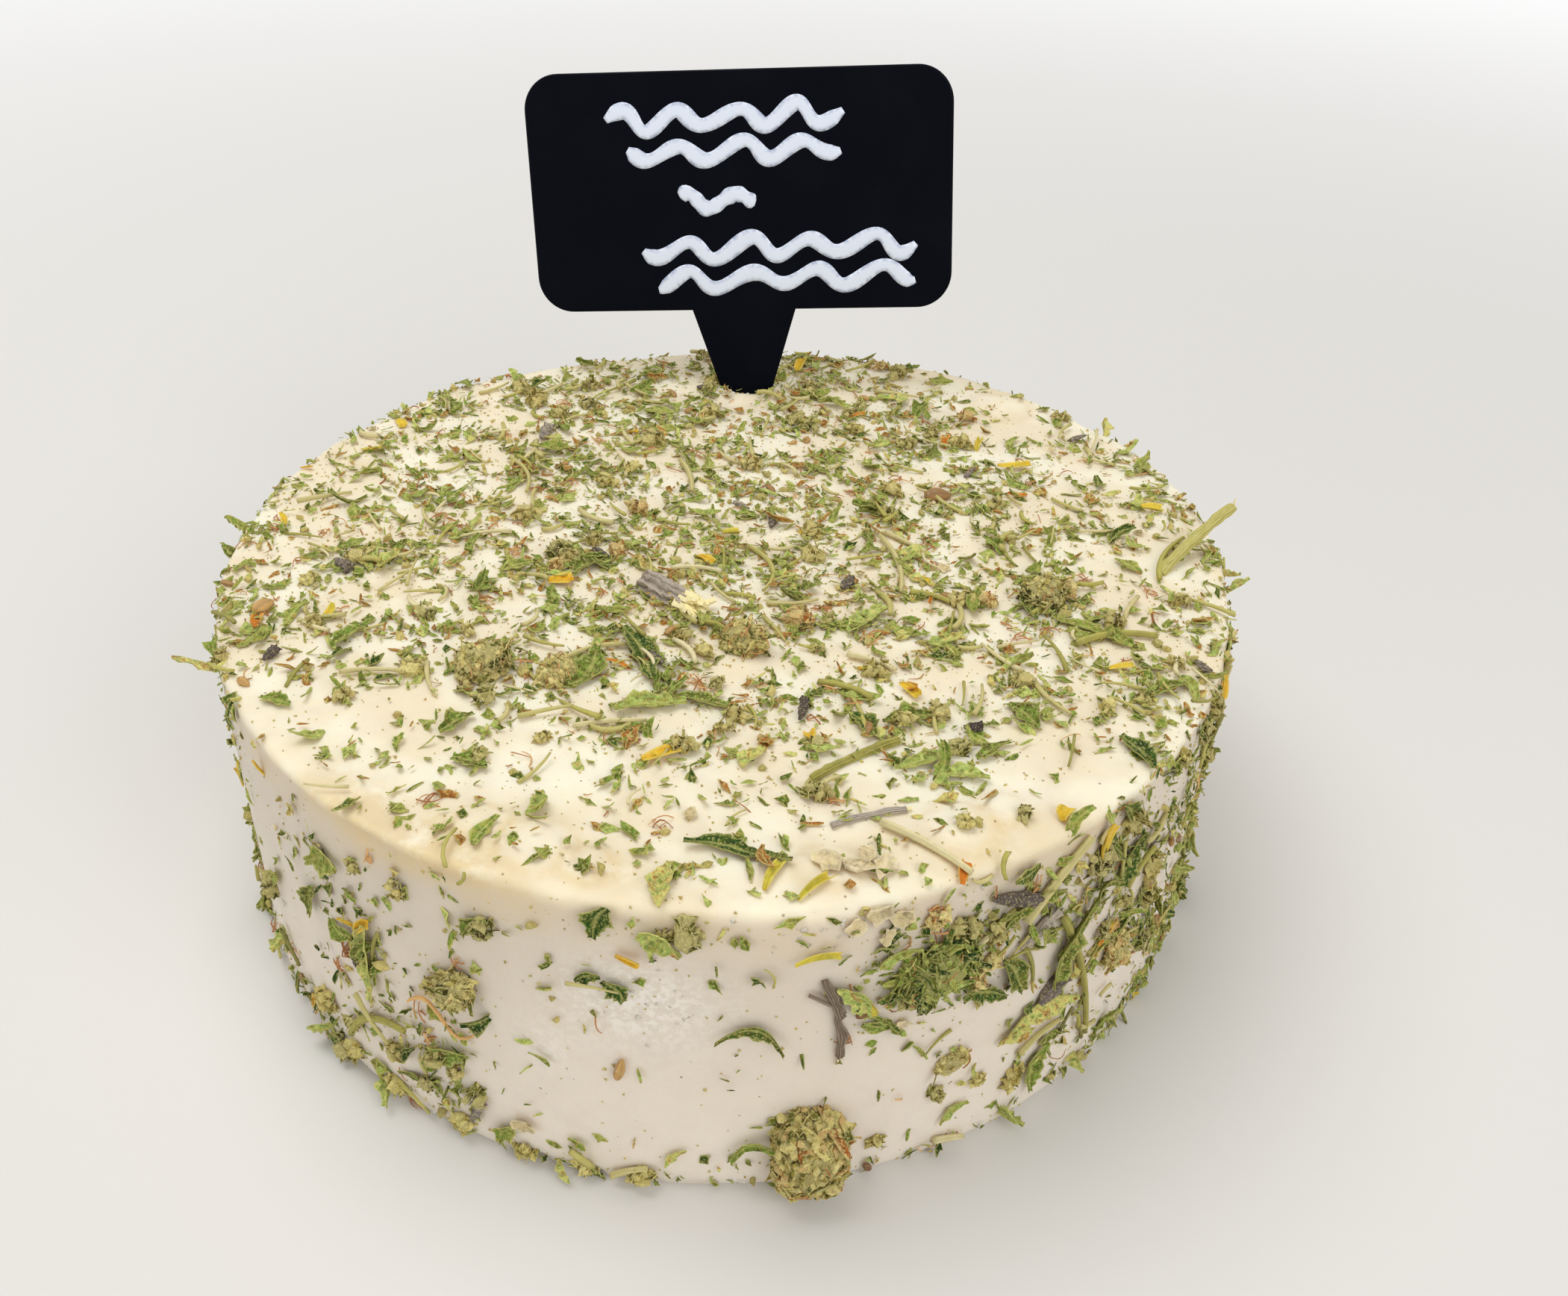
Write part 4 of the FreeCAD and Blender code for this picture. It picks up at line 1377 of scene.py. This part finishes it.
class CHEESE_OT_stalks(bpy.types.Operator):
    """Lays the stalks and rust threads, and gives the CAD stems their bark, ribs and broken ends"""

    bl_idname = "cheese.stalks"
    bl_label = "Stalks"

    def execute(self, context):
        herbs = context.scene.cheese_herbs
        rng = random.Random(herbs.seed + 3)
        ground = Ground()
        straw = ribbed_material("dry_straw", STRAW_TONES, 0.35, groove_shade=0.2)
        bark = ribbed_material("grey_bark", BARK_TONES, 0.3, 0.8, 0.5)
        rods = []
        for _ in range(KINDS["stalk"]):
            bow = rng.uniform(-0.6, 0.6)
            rods.append(rod_shape(rng.uniform(1.8, 5.0), rng.uniform(0.28, 0.62), 6, 3, rng.uniform(0.4, 1),
                                  arch(bow, 0.1), ribs=0.15))
        drift = strew(ground.scatter(rng, herbs.straws, 1.0), rods, rng,
                      (0.6, 1.3, 0.9), 0.22, tones(0.0, 1.0), (0.2, 0.6))
        put_by_hand(
            drift, ground, STALKS_BY_HAND,
            lambda length, thick, bow: rod_shape(length, thick, 8, 9, 0.75, arch(bow, 0.2), ribs=0.2),
            rng)
        drift.build("straw_bits", straw, "straw", smooth=True)
        threads = Drift()
        for spot, normal in ground.scatter(rng, herbs.hairs, 0.8):
            for _ in range(rng.choice(THREADS_PER_BUNDLE)):
                shift = normal.cross(Vector((rng.random(), rng.random(), rng.random()))) * MM
                add_thread(threads, rng, spot + shift * rng.uniform(-0.7, 0.7), normal,
                           rng.uniform(0.6, 2.2))
        curl = rod_shape(6.6, 0.42, 6, 14, 0.8, lambda t: (1.3 * math.sin(6.2 * t), 0.25))
        spot, normal, pose = ground.by_hand(*CURLY_STALK)
        threads.add(curl, pose, spot + normal * 0.15 * MM, 1.0, 0.95)
        threads.build("rust_threads", bpy.data.materials["rust_thread"], "bud")
        for node, look in STEM_LOOKS.items():
            dress_stem(node, look, rng, bark if look[0] == "bark" else straw)
        return {"FINISHED"}


# How each CAD stem looks: finish, tone, ribs' depth, bow in mm, splinters, how much thicker, the
# share of its length that is whole before the broken end, and how knotty it is.
STEM_LOOKS = {
    "woody_stem": ("bark", 0.74, 0.24, 0.0, 90, 1.3, 0.68, 0.1),
    "grey_stem": ("bark", 0.85, 0.2, 0.3, 6, 0.65, 0.94, 0.25),
    "wall_twig": ("bark", 0.36, 0.4, 0.6, 6, 0.66, 0.94, 0.7),
    "straw_stem": ("straw", 0.25, 0.3, 0.3, 10, 0.62, 0.88, 0.3),
    "pale_stalk": ("straw", 0.5, 0.12, 0.35, 5, 1.0, 0.96, 0.12),
}


# A stem that is more knotty than this has a stub of a side twig: its turn, then its length, thickness
# and middle as shares of the stem's.
KNOTTY = 0.5
STUB_TURN = math.radians(222)
STUB_LENGTH = 0.24
STUB_THICK = 0.7
STUB_PLACE = Vector((-0.29, -0.06, 0))


def dress_stem(node, look, rng, material):
    """Replaces a CAD stem by a ribbed, slightly bowed one with a splintered end."""
    finish, tone, ribs, bow, splinters, thicker, whole, knobs = look
    points = mesh_points(node)
    middle, (run, _, _) = main_axes(points)
    run = run if run.x > 0 else -run
    reach = (points - np.array(middle)) @ np.array(run)
    length = (reach.max() - reach.min()) / MM
    _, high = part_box(node)
    out = Vector((middle.x, middle.y, 0)).normalized() if high.z < HEIGHT - 1 * MM else UP
    out = (out - run * out.dot(run)).normalized()
    across = (points - np.array(middle)) @ np.array(out.cross(run))
    thick = (across.max() - across.min()) / MM * thicker
    shape = rod_shape(length * whole, thick, 20, 14, 0.95,
                      lambda t: (bow * 4 * t * (1 - t), 0.06 * math.sin(9 * t)), ribs=ribs)
    shape.points[:, 0] -= length * (1 - whole) / 2
    jitter = np.array([rng.uniform(-0.05, 0.05) for _ in range(shape.points.size)])
    shape.points += jitter.reshape(-1, 3) * thick
    knots = [1 + knobs * noise.noise(Vector((x / 0.8, thick, length))) for x in shape.points[:, 0]]
    shape.points[:, 1:] *= np.array(knots)[:, None]
    pose = along(out, run)
    drift = Drift()
    drift.add(shape, pose, middle, 1.0, tone)
    if knobs > KNOTTY:
        stub = rod_shape(length * STUB_LENGTH, thick * STUB_THICK, 8, 4, 0.7, ribs=ribs)
        lean = pose @ Quaternion((0, 0, 1), STUB_TURN)
        drift.add(stub, lean, middle + (pose @ STUB_PLACE) * length * MM, 1.0, tone + 0.1)
    for _ in range(splinters):
        angle = rng.uniform(0, ANY_SPIN)
        start = rng.uniform(0.0, 0.45) * thick
        long = rng.uniform(0.4, 1.3) * thick
        splinter = rod_shape(long, rng.uniform(0.16, 0.42) * thick, 4, 1, 0.5)
        end = (whole - 0.5) * length + long * rng.uniform(0.1, 0.35)
        place = Vector((end, start * math.cos(angle), start * math.sin(angle)))
        lean = pose @ Quaternion((0, math.sin(angle), -math.cos(angle)), rng.uniform(-1.0, 0.3))
        drift.add(splinter, lean, middle + pose @ (place * MM), 1.0, rng.uniform(1.05, 1.25))
    piece = drift.build(node + "_dry", material, finish)
    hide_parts(node)


class CHEESE_OT_flowers(bpy.types.Operator):
    """Lays the petals, the ribbed flower cups, the seeds and the papery scales"""

    bl_idname = "cheese.flowers"
    bl_label = "Petals, cups and seeds"

    def execute(self, context):
        herbs = context.scene.cheese_herbs
        rng = random.Random(herbs.seed + 4)
        ground = Ground()
        yellow = dried_material("dried_petal", PETAL_TONES, 1.0, srgb(246, 226, 120), 0.15, 0.7, 0.3, 0.22)
        violet = dried_material("flower_cup", CUP_TONES, 0.5, srgb(190, 180, 172), 0.35, 0.85, 0.45, 0.5)
        brown = ribbed_material("brown_seed", SEED_TONES, 0.8, 0.42)
        paper = dried_material("papery_scale", SCALE_TONES, 1.2, srgb(240, 228, 194), 0.35, 0.6, 0.3, 0.35)
        # Name, material, slot, shape, kinds of it, lengths, widths, how many are strewn, how clumped,
        # sizes, tilt, tones, lift, those laid one by one, and how deep these sink.
        rows = (
            ("yellow_petals", yellow, "petal", petal_shape, 10, (1.4, 2.8), (0.5, 1.3), herbs.petals, 0.5,
             (0.6, 1.1, 0.85), 0.5, tones(0.0, 0.8, 0.15), (0.2, 0.5), PETALS_BY_HAND, -0.1),
            ("flower_cups", violet, "flower", cup_shape, 6, (1.4, 2.6), (0.6, 1.0), herbs.cups, 0.8,
             (0.7, 1.1, 0.9), 0.3, tones(0.0, 1.0), (0.2, 0.5), CUPS_BY_HAND, -0.2),
            ("brown_seeds", brown, "seed", seed_shape, 6, (1.2, 2.2), (0.8, 1.3), herbs.seeds, 0.5,
             (0.7, 1.1, 0.9), 0.3, tones(0.0, 1.0), (0.1, 0.4), SEEDS_BY_HAND, -0.1),
            ("papery_scales", paper, "straw", scale_shape, 6, (1.4, 2.4), (1.0, 1.8), herbs.scales, 0.8,
             (0.5, 1.0, 0.7), 0.6, tones(0.0, 1.0), (0.1, 0.4), SCALES_BY_HAND, 0.0),
        )
        for (name, material, slot, make, kinds, lengths, widths, count, power,
             sizes, tilt, tone, lift, by_hand, sink) in rows:
            shapes = [make(rng, rng.uniform(*lengths), rng.uniform(*widths)) for _ in range(kinds)]
            drift = strew(ground.scatter(rng, count, power), shapes, rng, sizes, tilt, tone, lift)
            put_by_hand(drift, ground, by_hand, functools.partial(make, rng), rng, sink)
            drift.build(name, material, slot, smooth=make is seed_shape)
        return {"FINISHED"}


# Scraps on the wall: how many, then bearing, its spread, height and its spread.
WALL_SCRAPS = ((26, 264, 4.5, 21.5, 2.8), (26, 280, 4, 30.2, 1.0))
FOOT_SCRAPS = 120
LABEL_SCRAPS = 26


class CHEESE_OT_scraps(bpy.types.Operator):
    """Lays the loose scraps of paste: dry flecks on the scuff, smears on the lip and at the label"""

    bl_idname = "cheese.scraps"
    bl_label = "Scraps of paste"

    def execute(self, context):
        rng = random.Random(context.scene.cheese_herbs.seed + 5)
        ground = Ground()
        grains = [crumb_shape(rng, 2, 0.6) for _ in range(6)]
        spots = []
        for count, at, around, up, tall in WALL_SCRAPS:
            spots += [ground.wall(rng.gauss(at, around), rng.gauss(up, tall)) for _ in range(count)]
        spots += [ground.wall(rng.uniform(0, 360), rng.uniform(0.5, 1.6)) for _ in range(FOOT_SCRAPS)]
        entry = LabelFrame().entry
        for _ in range(LABEL_SCRAPS):
            angle = rng.uniform(0, FULL_TURN)
            reach = rng.uniform(3.0, 4.2)
            spots.append(ground.top(entry.x / MM + reach * math.cos(angle),
                                    entry.y / MM + reach * 0.55 * math.sin(angle)))
        places = [(spot, normal) for spot, normal in spots if spot]
        drift = strew(places, grains, rng, (0.15, 0.7, 0.3), 0.3, tones(0.0, 1.0), (-0.12, -0.04))
        drift.build("paste_scraps", bpy.data.materials["ivory_paste"], "paste", smooth=True)
        return {"FINISHED"}


# ---------------------------------------------------------------- the label


def swash(count, width, height, lean, phase):
    """Middle line of a wavy marker stroke, left to right, a little uneven in height and pace."""

    def at(t):
        turn = FULL_TURN * count * t + phase
        y = height / 2 * math.sin(turn) * (1 + 0.25 * math.sin(0.37 * turn + phase))
        x = width * (t - 0.5) + 0.25 * math.sin(0.5 * turn)
        return x + lean * y, y + 0.02 * x

    return at


# Wavy strokes on the plate: middle, then waves, width, height, lean in mm and phase.
SCRIBBLES = (
    ((-1.6, 8.0), (4.0, 27.0, 2.0, 0.3, 0.2)), ((-0.6, 4.4), (3.5, 25.0, 1.8, 0.3, 2.4)),
    ((-2.6, -1.0), (1.5, 9.5, 1.5, 0.3, 0.9)),
    ((4.2, -6.3), (4.5, 32.0, 2.0, 0.3, 3.0)), ((5.2, -9.8), (4.0, 30.0, 1.8, 0.3, 5.0)),
)


STEPS_PER_WAVE = 26
INK_THICK = 0.05


class CHEESE_OT_label(bpy.types.Operator):
    """Gives the label its plastic and lays generic marker scribbles on its front"""

    bl_idname = "cheese.label"
    bl_label = "Label"

    def execute(self, context):
        look = context.scene.cheese_label
        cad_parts["tag"].data.materials.clear()
        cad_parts["tag"].data.materials.append(label_material(look))
        plate = LabelFrame()
        drift = Drift()
        for (right, up), scribble in SCRIBBLES:
            drift.add(self.stroke(look, swash(*scribble), scribble[0]), Quaternion(), (0, 0, 0), 1.0, 0.5)
            flat = drift.points[-1] / MM
            drift.points[-1] = np.array([plate.at(x + right, y + up, z) for x, y, z in flat])
        drift.build("marker_scribbles", ink_material(look), "marker", smooth=True)
        return {"FINISHED"}

    @staticmethod
    def stroke(look, line, waves):
        """A flat bead of ink that follows a line, a little uneven in width."""
        bm, mark = draft()
        for vert, t, side in strip(bm, round(waves * STEPS_PER_WAVE), 6):
            x, y = line(t)
            ahead = line(min(1.0, t + 0.002))
            back = line(max(0.0, t - 0.002))
            run = Vector((ahead[0] - back[0], ahead[1] - back[1])).normalized()
            ends = min(1.0, 18 * min(t, 1 - t) + 0.45)
            half = look.stroke / MM / 2 * ends * (1 + 0.16 * math.sin(t * 31) * math.sin(t * 13))
            vert[mark] = abs(side)
            rise = look.ink_height / MM * math.sqrt(max(0.0, 1 - side**2))
            vert.co = Vector((x - run.y * side * half, y + run.x * side * half, rise))
        return take_shape(bm, INK_THICK)


# ---------------------------------------------------------------- the stage


# Round soft lamps: name, place and diameter in metres, and power in watts.
LAMPS = (
    ("key_lamp", (-0.18, 0.10, 0.62), 0.55, 2.36), ("fill_lamp", (0.45, -0.55, 0.50), 0.70, 3.1),
    ("low_lamp", (-0.55, -0.50, 0.10), 0.50, 0.8),
)
LAMP_TARGET = Vector((0, 0, 0.02))
STUDIO_STRENGTH = 0.43
FLOOR_FADE = (0.10, 0.60)  # distance in metres at which the floor starts and ends to turn white
SENSOR_WIDTH = 36


class CHEESE_OT_stage(bpy.types.Operator):
    """Sets up the floor, the soft lamps, the world and the camera"""

    bl_idname = "cheese.stage"
    bl_label = "Stage"

    def execute(self, context):
        look = context.scene.cheese_stage
        self.floor(look)
        for lamp in LAMPS:
            self.lamp(*lamp)
        self.world(context)
        self.camera(context, look)
        return {"FINISHED"}

    def floor(self, look):
        bm = bmesh.new()
        bmesh.ops.create_grid(bm, x_segments=1, y_segments=1, size=look.floor_size / 2)
        mesh = finished_mesh("floor", bm)
        mat = Finish(bpy.data.materials.new("floor_paper"))
        grain = mat.noise(3.0, 4.0)
        colour = mat.mix(grain * 0.04, look.floor_colour, PAPER_GRAIN)
        inputs = {"Base Color": colour, "Roughness": 0.9, "Normal": mat.bump(grain, 0.002)}
        paper = mat.node("ShaderNodeBsdfPrincipled", inputs=inputs)
        white = mat.node("ShaderNodeEmission", inputs={"Color": WHITE, "Strength": 1.0})
        away = mat.node("ShaderNodeVectorMath", {"operation": "LENGTH"}, {0: mat.place()}, "Value")
        fade = away.between(*FLOOR_FADE) * mat.seen()
        both = mat.node("ShaderNodeMixShader", inputs={0: fade, 1: paper, 2: white})
        mat.node("ShaderNodeOutputMaterial", inputs={"Surface": both})
        mesh.materials.append(mat.owner)
        obj = in_scene("floor", mesh)

    def lamp(self, name, place, size, watts):
        data = bpy.data.lights.new(name, "AREA")
        data.shape = "DISK"
        data.size = size
        data.energy = watts
        turn = (LAMP_TARGET - Vector(place)).to_track_quat("-Z", "Y").to_matrix()
        in_scene(name, data).matrix_world = Matrix.Translation(place) @ turn.to_4x4()

    def world(self, context):
        sky = Finish(bpy.data.worlds.new("studio"))
        dim = sky.node("ShaderNodeBackground", inputs={"Color": STUDIO_LIGHT, "Strength": STUDIO_STRENGTH})
        white = sky.node("ShaderNodeBackground", inputs={"Color": WHITE})
        both = sky.node("ShaderNodeMixShader", inputs={0: sky.seen(), 1: dim, 2: white})
        sky.node("ShaderNodeOutputWorld", inputs={"Surface": both})
        context.scene.world = sky.owner

    def camera(self, context, look):
        data = bpy.data.cameras.new("camera")
        data.lens = look.lens
        data.sensor_width = SENSOR_WIDTH
        data.sensor_fit = "HORIZONTAL"
        data.clip_start = 0.01
        obj = in_scene("camera", data)
        tilt = Euler((math.pi / 2 - look.camera_pitch, 0, 0)).to_matrix()
        turn = tilt @ Matrix.Rotation(look.camera_roll, 3, "Z")
        obj.matrix_world = Matrix.Translation(look.camera_place) @ turn.to_4x4()
        context.scene.camera = obj


# ---------------------------------------------------------------- panel and run


PIECE_OPERATORS = (
    CHEESE_OT_wheel, CHEESE_OT_leaves, CHEESE_OT_crumbs, CHEESE_OT_buds, CHEESE_OT_stalks,
    CHEESE_OT_flowers, CHEESE_OT_scraps, CHEESE_OT_label, CHEESE_OT_stage,
)
PROPERTY_GROUPS = {
    "cheese_paste": PasteLook, "cheese_herbs": HerbLook, "cheese_label": LabelLook,
    "cheese_stage": StageLook,
}


class CHEESE_PT_panel(bpy.types.Panel):
    """Lists the sizes, the colours and the steps"""

    bl_label = "Herb-coated cheese"
    bl_idname = "CHEESE_PT_panel"
    bl_space_type = "VIEW_3D"
    bl_region_type = "UI"
    bl_category = "Cheese"

    def draw(self, context):
        for name, group in PROPERTY_GROUPS.items():
            box = self.layout.box()
            for key in group.__annotations__:
                box.prop(getattr(context.scene, name), key)
        for operator in PIECE_OPERATORS:
            self.layout.operator(operator.bl_idname)


CLASSES = (*PROPERTY_GROUPS.values(), *PIECE_OPERATORS, CHEESE_PT_panel)


def register():
    for cls in CLASSES:
        bpy.utils.register_class(cls)
    for name, group in PROPERTY_GROUPS.items():
        setattr(bpy.types.Scene, name, bpy.props.PointerProperty(type=group))


def unregister():
    for name in PROPERTY_GROUPS:
        delattr(bpy.types.Scene, name)
    for cls in reversed(CLASSES):
        bpy.utils.unregister_class(cls)


def main():
    register()
    scene = bpy.context.scene
    scene.view_settings.view_transform = "Standard"
    for operator in PIECE_OPERATORS:
        group, name = operator.bl_idname.split(".")
        getattr(getattr(bpy.ops, group), name)()


if __name__ == "__main__":
    main()
